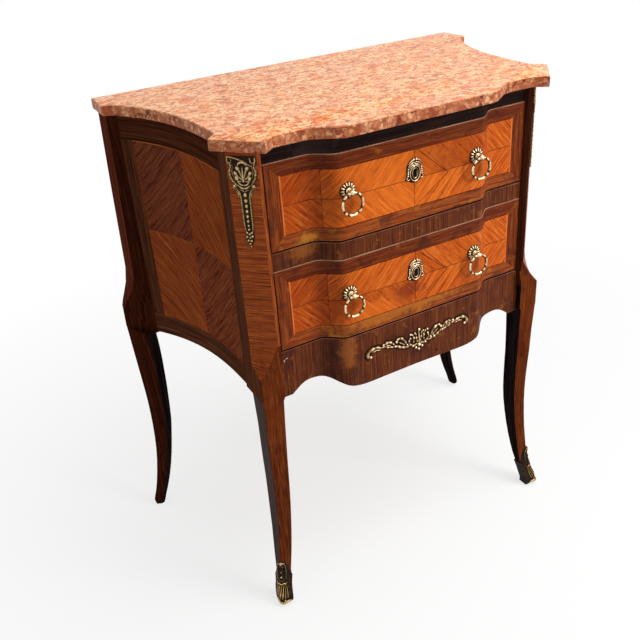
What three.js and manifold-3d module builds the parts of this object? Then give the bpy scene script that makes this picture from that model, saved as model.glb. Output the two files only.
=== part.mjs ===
// A small two-drawer commode chest: shaped marble slab, breakfront drawers with lapped
// dovetails, canted corner stiles that run down into cabriole legs, and gilt bronze mounts.
//
// Millimetres. X runs along the front, to the right of someone facing it, Y runs from the
// front to the wall and Z is up. While it is built the wall is at y = 0 and the front lies at
// negative y. At the end the whole piece moves so that the middle of its footprint is at the
// origin, with the floor at z = 0.

import * as THREE from "three";
import { mergeVertices } from "three/addons/utils/BufferGeometryUtils.js";
import Module from "manifold-3d";

const wasm = await Module();
wasm.setup();

// Overall sizes
const HEIGHT = 840; // floor to the top of the marble
const MARBLE_THICKNESS = 17;
const CASE_DEPTH = 370; // wall to the plane of the drawer ends
const BREAK_PROJECTION = 26; // how far the middle of the front stands forward
const CENTRE_HALF = 125; // half the width of the flat middle
const OGEE_WIDTH = 42; // run of the double curve on each side of it
const OPENING_HALF = 234.5; // half the clear width between the front stiles
const BACK_INSET = 2; // wall to the back of the case

// Heights on the front, from the marble down
const TOP_RAIL_HEIGHT = 26.5;
const UPPER_OPENING_HEIGHT = 134.8;
const DIVIDER_HEIGHT = 28.3;
const LOWER_OPENING_HEIGHT = 136;
const APRON_HEIGHT = 96;
const SIDE_SKIRT = 73.4; // how far the side panels reach below the lower drawer

// Corner stiles and legs
const STILE_STAND = 9.3; // how far the stiles stand in front of the drawer ends
const STILE_LIP = 8.6; // flat lip of the stile beside the drawers
const STILE_SPLAY = 3.6; // how far the lip's inner edge opens outwards
const CANT = 32.2; // set-back of the canted face on both sides of the corner
const FRONT_POST_DEPTH = 50;
const KNEE_DROP = 30.4; // knee, below the lower drawer
const CANT_RUN = 48; // height in which the canted face closes to a point at the knee
const KNEE_SIDE_SWELL = 3;
const KNEE_FRONT_SWELL = 1.7;
const KNEE_WIDTH = 38.5;
const KNEE_DEPTH = 38.5;
const LEG_SWING = 10; // unit for how far the cabriole curve moves in and out
const ARRIS_SHARE = 0.045; // sliver of the canted face that is left as the leg's arris
const REAR_HALF = 349; // half width over the rear posts, at the top
const REAR_STRIP = 47; // depth of the narrow outer face of a rear post
const REAR_RETURN = 13; // how far the post steps in beside it, towards the panel
const REAR_RETURN_DEPTH = 11;
const REAR_POST_WIDTH = 39;
const REAR_SWELL = 28; // how far the rear knee stands outside the post's top
const REAR_KNEE_EDGE = 10; // outer flat of the rear leg, from its back to its arris

// Side panels
const PANEL_THICKNESS = 16;
const SIDE_CURVE_POWER = 2.8; // how late the hollow side turns out to the rear corner

// Marble overhangs
const MARBLE_FRONT_OVERHANG = 25;
const MARBLE_BREAK = 29;
const MARBLE_CENTRE_HALF = 122;
const MARBLE_OGEE_WIDTH = 58;
const MARBLE_SIDE_OVERHANG = 5.2; // over the front end of the hollow side panels
const MARBLE_REAR_OVERHANG = 7; // over the rear posts
const MARBLE_REAR_EAR = 9; // rear ear, past the side of the post
const MARBLE_REAR_STEP = 8; // rear ear, past the front edge of the post
const MARBLE_EAR_OUT = 22.4; // front ear, past the side of the stile
const MARBLE_EAR_FORWARD = 41.5; // front ear, past the drawer plane
const MARBLE_EAR_BACK = 22; // front ear's side corner, behind the drawer plane
const MARBLE_EAR_FRONT = 0.9; // front ear's front corner, outside the stile's lip
const MARBLE_NOTCH_BACK = 41; // where the side's hollow meets the ear
const MARBLE_NOTCH_IN = 10; // where the front meets the ear, inside the opening
const MARBLE_EDGE = 1.4; // softened arris of the slab

// Joints and clearances
const FIT = 0.3; // gap left in a glued or driven joint
const DRAWER_GAP = 0.8; // around a drawer front
const OVERRUN = 6; // how far a cutting tool passes through what it cuts
const TENON_LENGTH = 14;
const TENON_THICKNESS = 9;
const TENON_SHOULDER = 4;
const KEY_LENGTH = 17; // dovetail that ties the top rails to the posts
const KEY_THICKNESS = 13;
const KEY_NARROW = 16;
const KEY_WIDE = 24;

// Carcass boards
const RAIL_DEPTH = 50; // front rails, from the drawer plane back
const RUNNER_THICKNESS = 18;
const RUNNER_INSIDE = 22.5; // how far a runner reaches inside the stile
const GUIDE_WIDTH = 17;
const GUIDE_HEIGHT = 16;
const BOARD_THICKNESS = 6;
const BOARD_GROOVE = 4.6;
const BOARD_RISE = 4; // dust board, above the underside of its runners
const KICKER_THICKNESS = 18;
const KICKER_WIDTH = 20;
const BACK_THICKNESS = 8;
const BACK_GROOVE = 8;
const BACK_OFFSET = 4; // back panel, in front of the back of the posts
const BACK_RAIL_DEPTH = 22;
const BACK_TOP_RAIL_HEIGHT = 30;
const BACK_BOTTOM_RAIL_HEIGHT = 33;
const BACK_RAIL_RISE = 6; // lower back rail, above the skirt of the sides
const APRON_THICKNESS = 22;
const APRON_TENON_HEIGHT = 46;
const STOP_WIDTH = 30;
const STOP_DEPTH = 12;
const STOP_HEIGHT = 5;
const STOP_FROM_SIDE = 84.5; // middle of a stop, inside the stile

// Drawers
const DRAWER_FRONT_THICKNESS = 21; // at the ends, where the dovetails are
const DRAWER_SIDE_THICKNESS = 12;
const DRAWER_BACK_THICKNESS = 10;
const DRAWER_SIDE_GAP = 1.5; // between a drawer side and the stile
const DRAWER_SIDE_DROP = 7.5; // sides lie this far below the top of the front
const DRAWER_BACK_CLEARANCE = 21; // back of a drawer to the back panel
const DRAWER_BOTTOM_THICKNESS = 6;
const DRAWER_BOTTOM_RISE = 6;
const DRAWER_GROOVE = 4.6;
const TAIL_LENGTH = 12; // lapped dovetails at the front
const TAIL_COUNT = 4;
const TAIL_FLARE_SHARE = 0.14;
const PIN_SHARE = 0.42; // width left for the pins

// Locks, placed from the top edge of each drawer front
const LOCK_WIDTH = 56;
const LOCK_HEIGHT = 72;
const LOCK_DEPTH = 10;
const LOCK_PLATE_MARGIN = 5;
const LOCK_PLATE_THICKNESS = 1.5;
const BOLT_WIDTH = 20;
const BOLT_THICKNESS = 6;
const BOLT_HEIGHT = 33;
const BOLT_TRAVEL = 9;
const KEYHOLE_RISE = 10.8; // keyhole, above the middle of the drawer opening
const KEYHOLE_RADIUS = 2.4;
const KEYHOLE_SLOT_WIDTH = 2.2;
const KEYHOLE_SLOT_LENGTH = 7;

// Ring pulls
const PULL_FROM_CENTRE = 116.2;
const LOWER_LEFT_PULL = 121.8; // this one was refitted further out
const PULL_RISE = 9.7;
const ROSETTE_RADIUS = 13.6;
const ROSETTE_PETALS = 12;
const ROSETTE_HEIGHT = 4.2;
const STUD_REACH = 13; // ring axis, in front of the drawer face
const STUD_RADIUS = 2.3;
const EYE_RADIUS = 5;
const EYE_BORE = 2.8;
const NUT_RADIUS = 5;
const NUT_THICKNESS = 3.5;
const RING_RADIUS = 17;
const RING_WIRE = 1.7;
const RING_LEAF = 0.7; // how much the leaves on the ring stand out
const RING_LEAVES = 10;

// Bronze mounts
const PLATE_THICKNESS = 1.8;
const RELIEF = 1.4; // how far the raised work stands on its plate
const ESCUTCHEON_WIDTH = 27;
const ESCUTCHEON_HEIGHT = 45;
const CHUTE_WIDTH = 42;
const CHUTE_HEIGHT = 134;
const CHUTE_DROP = 11; // below the marble
const APRON_MOUNT_HALF = 101;
const APRON_MOUNT_SHIFT = 4.5; // to the right of the middle
const APRON_MOUNT_HEIGHT = 30;
const APRON_MOUNT_DROP = 48; // its middle, below the top of the apron
const SABOT_HEIGHT = 88; // top of the hood on the arris
const SABOT_BACK_HEIGHT = 52;
const SABOT_WALL = 1.8;
const HOOD_HALF = 14;

// Levels
const marbleBottom = HEIGHT - MARBLE_THICKNESS;
const caseTop = marbleBottom - FIT;
const upperTop = caseTop - TOP_RAIL_HEIGHT;
const upperBottom = upperTop - UPPER_OPENING_HEIGHT;
const lowerTop = upperBottom - DIVIDER_HEIGHT;
const lowerBottom = lowerTop - LOWER_OPENING_HEIGHT;
const apronBottom = lowerBottom - APRON_HEIGHT;
const sideBottom = lowerBottom - SIDE_SKIRT;
const kneeHeight = lowerBottom - KNEE_DROP;

// Plan lines that several pieces share
const stileFrontX = OPENING_HALF + STILE_LIP;
const stileSideX = stileFrontX + CANT;
const stileFaceY = -(CASE_DEPTH + STILE_STAND);
const postBackY = FRONT_POST_DEPTH - CASE_DEPTH;
const railBackY = RAIL_DEPTH - CASE_DEPTH;
const drawerInnerY = DRAWER_FRONT_THICKNESS - CASE_DEPTH;
const rearPostFrontY = -(BACK_INSET + REAR_STRIP + REAR_RETURN_DEPTH);
const rearPanelX = REAR_HALF - REAR_RETURN;
const rearInnerX = REAR_HALF - REAR_POST_WIDTH;
const backPanelFrontY = -(BACK_INSET + BACK_OFFSET + BACK_THICKNESS);
const faceY = -(CASE_DEPTH + BREAK_PROJECTION);
const totalDepth = CASE_DEPTH + MARBLE_FRONT_OVERHANG + MARBLE_BREAK;

// Materials
const tulipwood = new THREE.MeshStandardMaterial({ color: 0xb5561c, roughness: 0.32 });
const kingwood = new THREE.MeshStandardMaterial({ color: 0x6d3418, roughness: 0.35 });
const darkWood = new THREE.MeshStandardMaterial({ color: 0x3a2018, roughness: 0.4 });
const oak = new THREE.MeshStandardMaterial({ color: 0xa98559, roughness: 0.75 });
const marble = new THREE.MeshStandardMaterial({ color: 0xd9906c, roughness: 0.3 });
const bronze = new THREE.MeshStandardMaterial({ color: 0xb39a5c, roughness: 0.35, metalness: 1 });
const brass = new THREE.MeshStandardMaterial({ color: 0xa88b4a, roughness: 0.45, metalness: 1 });
const steel = new THREE.MeshStandardMaterial({ color: 0x6b6a68, roughness: 0.5, metalness: 1 });

// Solids and geometries. Every geometry is bare: only positions and shared corners.
const WELD = 1e-4; // vertices closer than this are one

function bare(geometry) {
  geometry.deleteAttribute("normal");
  geometry.deleteAttribute("uv");
  return mergeVertices(geometry, WELD);
}

function skin(positions, index) {
  const geometry = new THREE.BufferGeometry();
  geometry.setAttribute("position", new THREE.Float32BufferAttribute(positions, 3));
  geometry.setIndex(index);
  return geometry;
}

function solidOf(geometry) {
  return new wasm.Manifold(new wasm.Mesh({
    numProp: 3,
    vertProperties: new Float32Array(geometry.attributes.position.array),
    triVerts: new Uint32Array(geometry.index.array),
  }));
}

function geometryOf(solid) {
  const mesh = solid.getMesh();
  return skin(mesh.vertProperties, [...mesh.triVerts]);
}

function joined(first, ...others) {
  return geometryOf(others.reduce((sum, next) => sum.add(solidOf(next)), solidOf(first)));
}

function cut(first, ...tools) {
  return geometryOf(tools.reduce((rest, tool) => rest.subtract(solidOf(tool)), solidOf(first)));
}

function common(first, second) {
  return geometryOf(solidOf(first).intersect(solidOf(second)));
}

function mirrored(geometry) {
  const copy = geometry.clone().scale(-1, 1, 1);
  const index = copy.index.array;
  for (let i = 0; i < index.length; i += 3) {
    [index[i], index[i + 1]] = [index[i + 1], index[i]];
  }
  return copy;
}

function box(x0, x1, y0, y1, z0, z1) {
  const geometry = bare(new THREE.BoxGeometry(x1 - x0, y1 - y0, z1 - z0));
  return geometry.translate((x0 + x1) / 2, (y0 + y1) / 2, (z0 + z1) / 2);
}

function extruded(points, depth, holes = []) {
  const clockwise = THREE.ShapeUtils.isClockWise(points);
  const shape = new THREE.Shape(clockwise ? [...points].reverse() : points);
  for (const hole of holes) {
    shape.holes.push(new THREE.Path(hole));
  }
  return bare(new THREE.ExtrudeGeometry(shape, { depth, bevelEnabled: false }));
}

// An outline in plan, standing from one height to another
function upright(points, z0, z1) {
  return extruded(points, z1 - z0).translate(0, 0, z0);
}

// An outline in x and z, reaching from its back plane forward
function facing(points, backY, frontY, holes = []) {
  return extruded(points, backY - frontY, holes).rotateX(Math.PI / 2).translate(0, backY, 0);
}

// An outline in y and z, reaching across from x0 to x1
function across(points, x0, x1) {
  const turn = new THREE.Matrix4().makeBasis(
    new THREE.Vector3(0, 1, 0), new THREE.Vector3(0, 0, 1), new THREE.Vector3(1, 0, 0));
  return extruded(points, x1 - x0).applyMatrix4(turn).translate(x0, 0, 0);
}

function vec(x, y) {
  return new THREE.Vector2(x, y);
}

// A closed skin through rings that all have the same number of corners
function loft(rings) {
  const count = rings[0].length;
  const positions = rings.flat().flatMap((p) => [p.x, p.y, p.z]);
  const index = [];
  const quad = (a, b, c, d) => index.push(a, b, c, a, c, d);
  for (let r = 0; r + 1 < rings.length; r += 1) {
    for (let i = 0; i < count; i += 1) {
      const j = (i + 1) % count;
      quad(r * count + i, r * count + j, (r + 1) * count + j, (r + 1) * count + i);
    }
  }
  const last = (rings.length - 1) * count;
  const cap = (ring) => THREE.ShapeUtils.triangulateShape(ring.map((p) => vec(p.x, p.y)), []);
  for (const [a, b, c] of cap(rings[0])) {
    index.push(c, b, a);
  }
  for (const [a, b, c] of cap(rings[rings.length - 1])) {
    index.push(last + a, last + b, last + c);
  }
  return skin(positions, index);
}

function ball(around, up) {
  return bare(new THREE.SphereGeometry(1, around, up));
}

// A round bar along y
function rod(radius, length, sides, endRadius = radius) {
  return bare(new THREE.CylinderGeometry(endRadius, radius, length, sides));
}

// Moves each side of a flat convex ring outward by a distance
function grownRing(ring, distance) {
  const count = ring.length;
  return ring.map((point, i) => {
    const before = ring[(i + count - 1) % count];
    const after = ring[(i + 1) % count];
    const inDir = vec(point.x - before.x, point.y - before.y).normalize();
    const outDir = vec(after.x - point.x, after.y - point.y).normalize();
    const inNormal = vec(inDir.y, -inDir.x);
    const outNormal = vec(outDir.y, -outDir.x);
    const middle = inNormal.clone().add(outNormal).normalize();
    const reach = distance / middle.dot(inNormal);
    return new THREE.Vector3(point.x + middle.x * reach, point.y + middle.y * reach, point.z);
  });
}

// Rings sampled from a smooth curve through each corner of the given rings
function smoothed(rings, steps) {
  const curves = rings[0].map((_, corner) => new THREE.CatmullRomCurve3(
    rings.map((ring) => ring[corner]), false, "catmullrom"));
  return Array.from({ length: steps + 1 }, (_, i) => curves.map((c) => c.getPoint(i / steps)));
}

const parts = new THREE.Group();

function add(name, geometry, material) {
  geometry.computeVertexNormals();
  const mesh = new THREE.Mesh(geometry, material);
  mesh.name = name;
  parts.add(mesh);
  return mesh;
}

function addPair(stem, geometry, material) {
  add(`${stem}_right`, geometry, material);
  add(`${stem}_left`, mirrored(geometry), material);
}

// The breakfront line, left to right: flat ends, a double curve, and a flat middle
const OGEE_STEPS = 10;

function breakfront(half, depth, projection, centreHalf, ogeeWidth) {
  const right = [vec(centreHalf, -(depth + projection))];
  for (let i = 1; i <= OGEE_STEPS; i += 1) {
    const share = i / OGEE_STEPS;
    const forward = projection * (1 + Math.cos(Math.PI * share)) / 2;
    right.push(vec(centreHalf + ogeeWidth * share, -(depth + forward)));
  }
  right.push(vec(half, -depth));
  const left = right.map((p) => vec(-p.x, p.y)).reverse();
  return [...left, ...right];
}

function frontBlank(half, backY, z0, z1) {
  const line = breakfront(half, CASE_DEPTH, BREAK_PROJECTION, CENTRE_HALF, OGEE_WIDTH);
  return upright([vec(-half, backY), ...line, vec(half, backY)], z0, z1);
}

// The hollow side, from its front end to its rear end, moved out by an offset
const SIDE_STEPS = 11;

function hollowSide(frontX, rearX, frontY, rearY) {
  return Array.from({ length: SIDE_STEPS + 1 }, (_, i) => {
    const share = i / SIDE_STEPS;
    const out = (rearX - frontX) * share ** SIDE_CURVE_POWER;
    return vec(frontX + out, frontY + (rearY - frontY) * share);
  });
}

// Marble slab with ears over the canted corners and over the rear posts
function marbleSlab() {
  const sideFront = -(CASE_DEPTH - MARBLE_NOTCH_BACK);
  const earRearY = rearPostFrontY - MARBLE_REAR_STEP;
  const right = [
    vec(stileFrontX + MARBLE_EAR_FRONT, -(CASE_DEPTH + MARBLE_EAR_FORWARD)),
    vec(stileSideX + MARBLE_EAR_OUT, -(CASE_DEPTH - MARBLE_EAR_BACK)),
    ...hollowSide(stileSideX + MARBLE_SIDE_OVERHANG, rearPanelX + MARBLE_REAR_OVERHANG,
      sideFront, earRearY),
    vec(REAR_HALF + MARBLE_REAR_EAR, earRearY + MARBLE_REAR_OVERHANG),
    vec(REAR_HALF + MARBLE_REAR_OVERHANG, 0),
  ];
  const left = right.map((p) => vec(-p.x, p.y)).reverse();
  const front = breakfront(OPENING_HALF - MARBLE_NOTCH_IN, CASE_DEPTH + MARBLE_FRONT_OVERHANG,
    MARBLE_BREAK, MARBLE_CENTRE_HALF, MARBLE_OGEE_WIDTH);
  const shape = new THREE.Shape([...left, ...front, ...right]);
  const slab = new THREE.ExtrudeGeometry(shape, {
    depth: MARBLE_THICKNESS - 2 * MARBLE_EDGE,
    bevelThickness: MARBLE_EDGE,
    bevelSize: MARBLE_EDGE,
    bevelOffset: -MARBLE_EDGE,
    bevelSegments: 1,
  });
  return bare(slab).translate(0, 0, marbleBottom + MARBLE_EDGE);
}

add("marble_top", marbleSlab(), marble);

// Front legs. Each ring runs: inner front, front of the cant, side of the cant, outer back,
// inner back. Above the knee the section is the stile; at the knee its canted face closes to a
// point while the corner swells out; below it the section is nearly square and tapers.
// Shares at the knee: height left in the run, front edge and side edge of the cant, swell.
const KNEE_SHARES = [
  [1, 1, 1, 0], [0.8, 0.84, 1, 0.07], [0.6, 0.67, 1, 0.22], [0.42, 0.51, 0.97, 0.44],
  [0.27, 0.37, 0.85, 0.68], [0.15, 0.23, 0.5, 0.88], [0.06, 0.12, 0.25, 0.97],
  [0, ARRIS_SHARE, ARRIS_SHARE, 1],
];
// Shares below it: height, corner's way out at the side and at the front in units of the
// swing, and the section's width and depth against the knee's.
const FRONT_LEG_SHARES = [
  [0.887, -0.06, -0.05, 0.9, 1], [0.77, -0.22, -0.33, 0.83, 0.9],
  [0.664, -0.25, -0.5, 0.793, 0.866], [0.6, -0.34, -0.67, 0.763, 0.853],
  [0.536, -0.44, -0.74, 0.722, 0.855], [0.471, -0.44, -0.78, 0.7, 0.845],
  [0.407, -0.37, -0.74, 0.673, 0.813], [0.343, -0.23, -0.61, 0.64, 0.759],
  [0.278, -0.05, -0.47, 0.607, 0.697], [0.214, 0.28, -0.26, 0.585, 0.617],
  [0.171, 0.45, -0.2, 0.555, 0.53], [0.129, 0.71, 0.01, 0.535, 0.445],
  [0.086, 1.03, 0.37, 0.49, 0.395], [0.064, 1.28, 0.76, 0.486, 0.455],
  [0.043, 1.44, 1.34, 0.465, 0.56], [0.023, 1.57, 1.6, 0.462, 0.535],
  [0.009, 1.55, 1.42, 0.45, 0.48], [0, 1.35, 0.95, 0.4, 0.36],
];
const LEDGE = 1; // height in which the post's back steps in below the side panel
const LEG_STEPS = 19;

function cornerRing(z, cornerX, cornerY, innerX, backY, frontShare, sideShare) {
  return [
    new THREE.Vector3(innerX, cornerY, z),
    new THREE.Vector3(cornerX - CANT * frontShare, cornerY, z),
    new THREE.Vector3(cornerX, cornerY + CANT * sideShare, z),
    new THREE.Vector3(cornerX, backY, z),
    new THREE.Vector3(innerX, backY, z),
  ];
}

function frontLegRings() {
  const kneeX = stileSideX + KNEE_SIDE_SWELL;
  const kneeY = stileFaceY - KNEE_FRONT_SWELL;
  const upper = [cornerRing(caseTop, stileSideX, stileFaceY, OPENING_HALF, postBackY, 1, 1)];
  for (const [height, front, side, swell] of KNEE_SHARES) {
    const cornerX = stileSideX + KNEE_SIDE_SWELL * swell;
    const innerX = OPENING_HALF + (kneeX - KNEE_WIDTH - OPENING_HALF) * swell;
    upper.push(cornerRing(kneeHeight + CANT_RUN * height, cornerX,
      stileFaceY - KNEE_FRONT_SWELL * swell, innerX, postBackY, front, side));
  }
  const ledgeInnerX = kneeX - KNEE_WIDTH;
  upper.push(cornerRing(sideBottom, kneeX, kneeY, ledgeInnerX, postBackY,
    ARRIS_SHARE, ARRIS_SHARE));
  const lower = [cornerRing(sideBottom - LEDGE, kneeX, kneeY, ledgeInnerX,
    kneeY + KNEE_DEPTH, ARRIS_SHARE, ARRIS_SHARE)];
  for (const [height, outX, outY, width, depth] of FRONT_LEG_SHARES) {
    const z = kneeHeight * height;
    if (z < sideBottom - LEDGE) {
      const x = kneeX + LEG_SWING * outX;
      const y = kneeY - LEG_SWING * outY;
      lower.push(cornerRing(z, x, y, x - KNEE_WIDTH * width, y + KNEE_DEPTH * depth,
        ARRIS_SHARE, ARRIS_SHARE));
    }
  }
  return { upper, lower: smoothed(lower, LEG_STEPS) };
}

const frontLeg = frontLegRings();
const frontLegRingsDown = [...frontLeg.upper, ...frontLeg.lower].reverse();
const frontLegBlank = loft(frontLegRingsDown);

// A rail end: the tenon, and the mortise that takes it with the joint's gap
function tenon(endX, midY, z0, z1, gap) {
  const half = TENON_THICKNESS / 2 + gap;
  return box(endX - OVERRUN, endX + TENON_LENGTH + gap, midY - half, midY + half,
    z0 - gap, z1 + gap);
}

// A dovetail key in plan, let into the top of a post
function dovetailKey(endX, midY, gap, rise) {
  const outline = [
    vec(endX - OVERRUN, midY - KEY_NARROW / 2 - gap),
    vec(endX, midY - KEY_NARROW / 2 - gap),
    vec(endX + KEY_LENGTH + gap, midY - KEY_WIDE / 2 - gap),
    vec(endX + KEY_LENGTH + gap, midY + KEY_WIDE / 2 + gap),
    vec(endX, midY + KEY_NARROW / 2 + gap),
    vec(endX - OVERRUN, midY + KEY_NARROW / 2 + gap),
  ];
  return upright(outline, caseTop - KEY_THICKNESS - gap, caseTop + rise);
}

const railEndX = OPENING_HALF - FIT;
const frontTenonY = (-CASE_DEPTH + railBackY) / 2;
const dividerTenonTop = upperBottom - TENON_SHOULDER;
const dividerTenonBottom = lowerTop + TENON_SHOULDER;
const apronEndX = stileSideX + KNEE_SIDE_SWELL - KNEE_WIDTH;
const apronTenonY = APRON_THICKNESS / 2 - CASE_DEPTH;
const apronTenonTop = lowerBottom - TENON_SHOULDER * 4;
const apronTenonBottom = apronTenonTop - APRON_TENON_HEIGHT;

// The lip's inner face opens outwards in front of the drawer ends
const lipSplay = upright([
  vec(OPENING_HALF - OVERRUN, -CASE_DEPTH),
  vec(OPENING_HALF, -CASE_DEPTH),
  vec(OPENING_HALF + STILE_SPLAY, stileFaceY),
  vec(OPENING_HALF + STILE_SPLAY, stileFaceY - OVERRUN),
  vec(OPENING_HALF - OVERRUN, stileFaceY - OVERRUN),
], lowerBottom, caseTop + OVERRUN);

addPair("front_leg", cut(frontLegBlank, lipSplay,
  tenon(railEndX, frontTenonY, dividerTenonBottom, dividerTenonTop, FIT),
  tenon(apronEndX, apronTenonY, apronTenonBottom, apronTenonTop, FIT),
  dovetailKey(railEndX, frontTenonY, FIT, OVERRUN)), kingwood);

// Rear legs. Each ring runs: inner back, inner front, where the side panel ends, front of the
// outer strip, outer back. The strip closes towards the back corner at the knee.
// Shares above and at the knee: height in the post, swell, and how much of the strip is left.
const REAR_TOP_SHARES = [
  [1, 0, 1], [0.65, 0.14, 1], [0.2, 0.28, 1], [0.12, 0.45, 0.82], [0.065, 0.7, 0.45],
  [0.03, 0.87, 0.22], [0, 0.98, 0.1],
];
// Shares below: height, outer corner's way out from the knee in units of the swing, the
// section's depth against the post's and its width against the knee's.
const REAR_LEG_SHARES = [
  [0.9, -0.05, 0.97, 0.565], [0.81, -0.3, 0.92, 0.568], [0.73, -0.5, 0.87, 0.545],
  [0.64, -0.75, 0.82, 0.51], [0.557, -0.97, 0.755, 0.467], [0.47, -1.05, 0.7, 0.435],
  [0.385, -1, 0.585, 0.395], [0.3, -0.8, 0.485, 0.362], [0.214, -0.35, 0.43, 0.325],
  [0.128, 0.36, 0.43, 0.265], [0.065, 1.05, 0.44, 0.2], [0.03, 1.6, 0.41, 0.216],
  [0.012, 1.8, 0.34, 0.21], [0, 1.68, 0.22, 0.165],
];
const REAR_FACE_SHARE = 0.43; // flat front of the leg, against its whole width
const REAR_INNER_SLOPE = 0.2; // run of the leg's inner face, against its depth
const REAR_STEPS = 18;

function rearRing(z, outerX, arrisY, sideX, innerX, frontY, backX = innerX) {
  return [
    new THREE.Vector3(backX, -BACK_INSET, z),
    new THREE.Vector3(innerX, frontY, z),
    new THREE.Vector3(sideX, frontY, z),
    new THREE.Vector3(outerX, arrisY, z),
    new THREE.Vector3(outerX, -BACK_INSET, z),
  ];
}

function rearLegRings() {
  const postRise = caseTop - kneeHeight;
  const postDepth = -rearPostFrontY - BACK_INSET;
  const rings = REAR_TOP_SHARES.map(([height, swell, strip]) => {
    const stripLeft = REAR_KNEE_EDGE + (REAR_STRIP - REAR_KNEE_EDGE) * strip;
    return rearRing(kneeHeight + postRise * height, REAR_HALF + REAR_SWELL * swell,
      -(BACK_INSET + stripLeft), rearPanelX, rearInnerX, rearPostFrontY);
  });
  const kneeX = REAR_HALF + REAR_SWELL;
  const kneeWidth = kneeX - rearInnerX;
  const arrisY = -(BACK_INSET + REAR_KNEE_EDGE);
  rings.push(rearRing(sideBottom, kneeX, arrisY, rearPanelX, rearInnerX, rearPostFrontY));
  const lower = REAR_LEG_SHARES.map(([height, out, depth, width]) => {
    const outerX = kneeX + LEG_SWING * out;
    const frontY = -(BACK_INSET + postDepth * depth);
    const innerX = outerX - kneeWidth * width;
    const sideX = innerX + (outerX - innerX) * REAR_FACE_SHARE;
    const backX = innerX + (frontY + BACK_INSET) * REAR_INNER_SLOPE;
    return rearRing(kneeHeight * height, outerX, arrisY, sideX, innerX, frontY, backX);
  });
  return [...rings, ...smoothed(lower, REAR_STEPS)];
}

const rearLegBlank = loft(rearLegRings().reverse());
const rearRailMidY = -(BACK_INSET + BACK_RAIL_DEPTH / 2);
const rearRailEndX = rearInnerX - FIT;
const backRailTop = sideBottom + BACK_RAIL_RISE + BACK_BOTTOM_RAIL_HEIGHT;
const backRailBottom = sideBottom + BACK_RAIL_RISE;
const backGroove = box(rearInnerX - OVERRUN, rearInnerX + BACK_GROOVE + FIT,
  backPanelFrontY - FIT, backPanelFrontY + BACK_THICKNESS + FIT,
  backRailTop - BACK_GROOVE - FIT, caseTop - KEY_THICKNESS - 2 * FIT);

addPair("rear_leg", cut(rearLegBlank, backGroove,
  tenon(rearRailEndX, rearRailMidY, backRailBottom + TENON_SHOULDER,
    backRailTop - BACK_GROOVE - TENON_SHOULDER, FIT),
  dovetailKey(rearRailEndX, rearRailMidY - TENON_SHOULDER, FIT, OVERRUN)), kingwood);

// Side panels: a board bent to the hollow side, between the posts
function sidePanel() {
  const outer = hollowSide(stileSideX, rearPanelX, postBackY + FIT, rearPostFrontY - FIT);
  const inner = outer.map((p, i) => {
    const before = outer[Math.max(i - 1, 0)];
    const after = outer[Math.min(i + 1, outer.length - 1)];
    const along = after.clone().sub(before).normalize();
    return vec(p.x - PANEL_THICKNESS / along.y, p.y);
  });
  return upright([...outer, ...inner.reverse()], sideBottom, caseTop);
}

addPair("side_panel", sidePanel(), darkWood);

// Rails of the front
function bothEnds(maker) {
  const right = maker();
  return [right, mirrored(right)];
}

const friezeKeys = bothEnds(() => dovetailKey(railEndX, frontTenonY, 0, 0));
const friezeBlank = joined(frontBlank(railEndX, railBackY, upperTop, caseTop), ...friezeKeys);

// Lock bolts stand in the thick middle of the drawer front, and shoot into the rail above
const lockBackY = drawerInnerY;
const lockFrontY = drawerInnerY - LOCK_DEPTH;
const boltMidY = (lockBackY + lockFrontY) / 2;

function boltSlot(z0, z1, gap) {
  const half = BOLT_WIDTH / 2 + gap;
  const deep = BOLT_THICKNESS / 2 + gap;
  return box(-half, half, boltMidY - deep, boltMidY + deep, z0, z1);
}

function strikeSlot(openingTop) {
  const top = openingTop - DRAWER_GAP + BOLT_TRAVEL + DRAWER_GAP;
  return boltSlot(openingTop - OVERRUN, top + DRAWER_GAP, DRAWER_GAP);
}

add("top_front_rail", cut(friezeBlank, strikeSlot(upperTop)), darkWood);

const dividerTenons = bothEnds(() => tenon(railEndX, frontTenonY, dividerTenonBottom,
  dividerTenonTop, 0));
const dividerBlank = joined(frontBlank(railEndX, railBackY, lowerTop, upperBottom),
  ...dividerTenons);
add("drawer_divider", cut(dividerBlank, strikeSlot(lowerTop)), kingwood);

// Apron: its lower edge as shares of the opening's half width and of the apron's height
const APRON_EDGE_SHARES = [
  [0, 0.985], [0.26, 0.994], [0.41, 1], [0.49, 0.979], [0.555, 0.93], [0.61, 0.858],
  [0.66, 0.78], [0.725, 0.714], [0.795, 0.69], [0.845, 0.71], [0.887, 0.765], [0.943, 0.869],
];
const APRON_EDGE_STEPS = 26;

function apronBoard() {
  const lug = APRON_EDGE_SHARES[APRON_EDGE_SHARES.length - 1][1];
  const points = APRON_EDGE_SHARES.map(([x, z]) => vec(OPENING_HALF * x,
    lowerBottom - APRON_HEIGHT * z));
  const edge = new THREE.SplineCurve(points).getPoints(APRON_EDGE_STEPS);
  const wide = apronEndX + OVERRUN;
  const right = [...edge, vec(wide, lowerBottom - APRON_HEIGHT * lug), vec(wide, lowerBottom)];
  const left = right.slice(1).map((p) => vec(-p.x, p.y)).reverse();
  const profile = facing([...left, ...right], APRON_THICKNESS - CASE_DEPTH,
    faceY - OVERRUN);
  const blank = common(profile, frontBlank(wide, APRON_THICKNESS - CASE_DEPTH,
    apronBottom - OVERRUN, lowerBottom));
  const legRoom = loft(frontLegRingsDown.map((ring) => grownRing(ring, FIT)));
  const shaped = cut(blank, legRoom, mirrored(legRoom));
  const ends = bothEnds(() => tenon(apronEndX, apronTenonY, apronTenonBottom,
    apronTenonTop, 0));
  return joined(shaped, ...ends);
}

add("apron", apronBoard(), kingwood);

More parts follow.
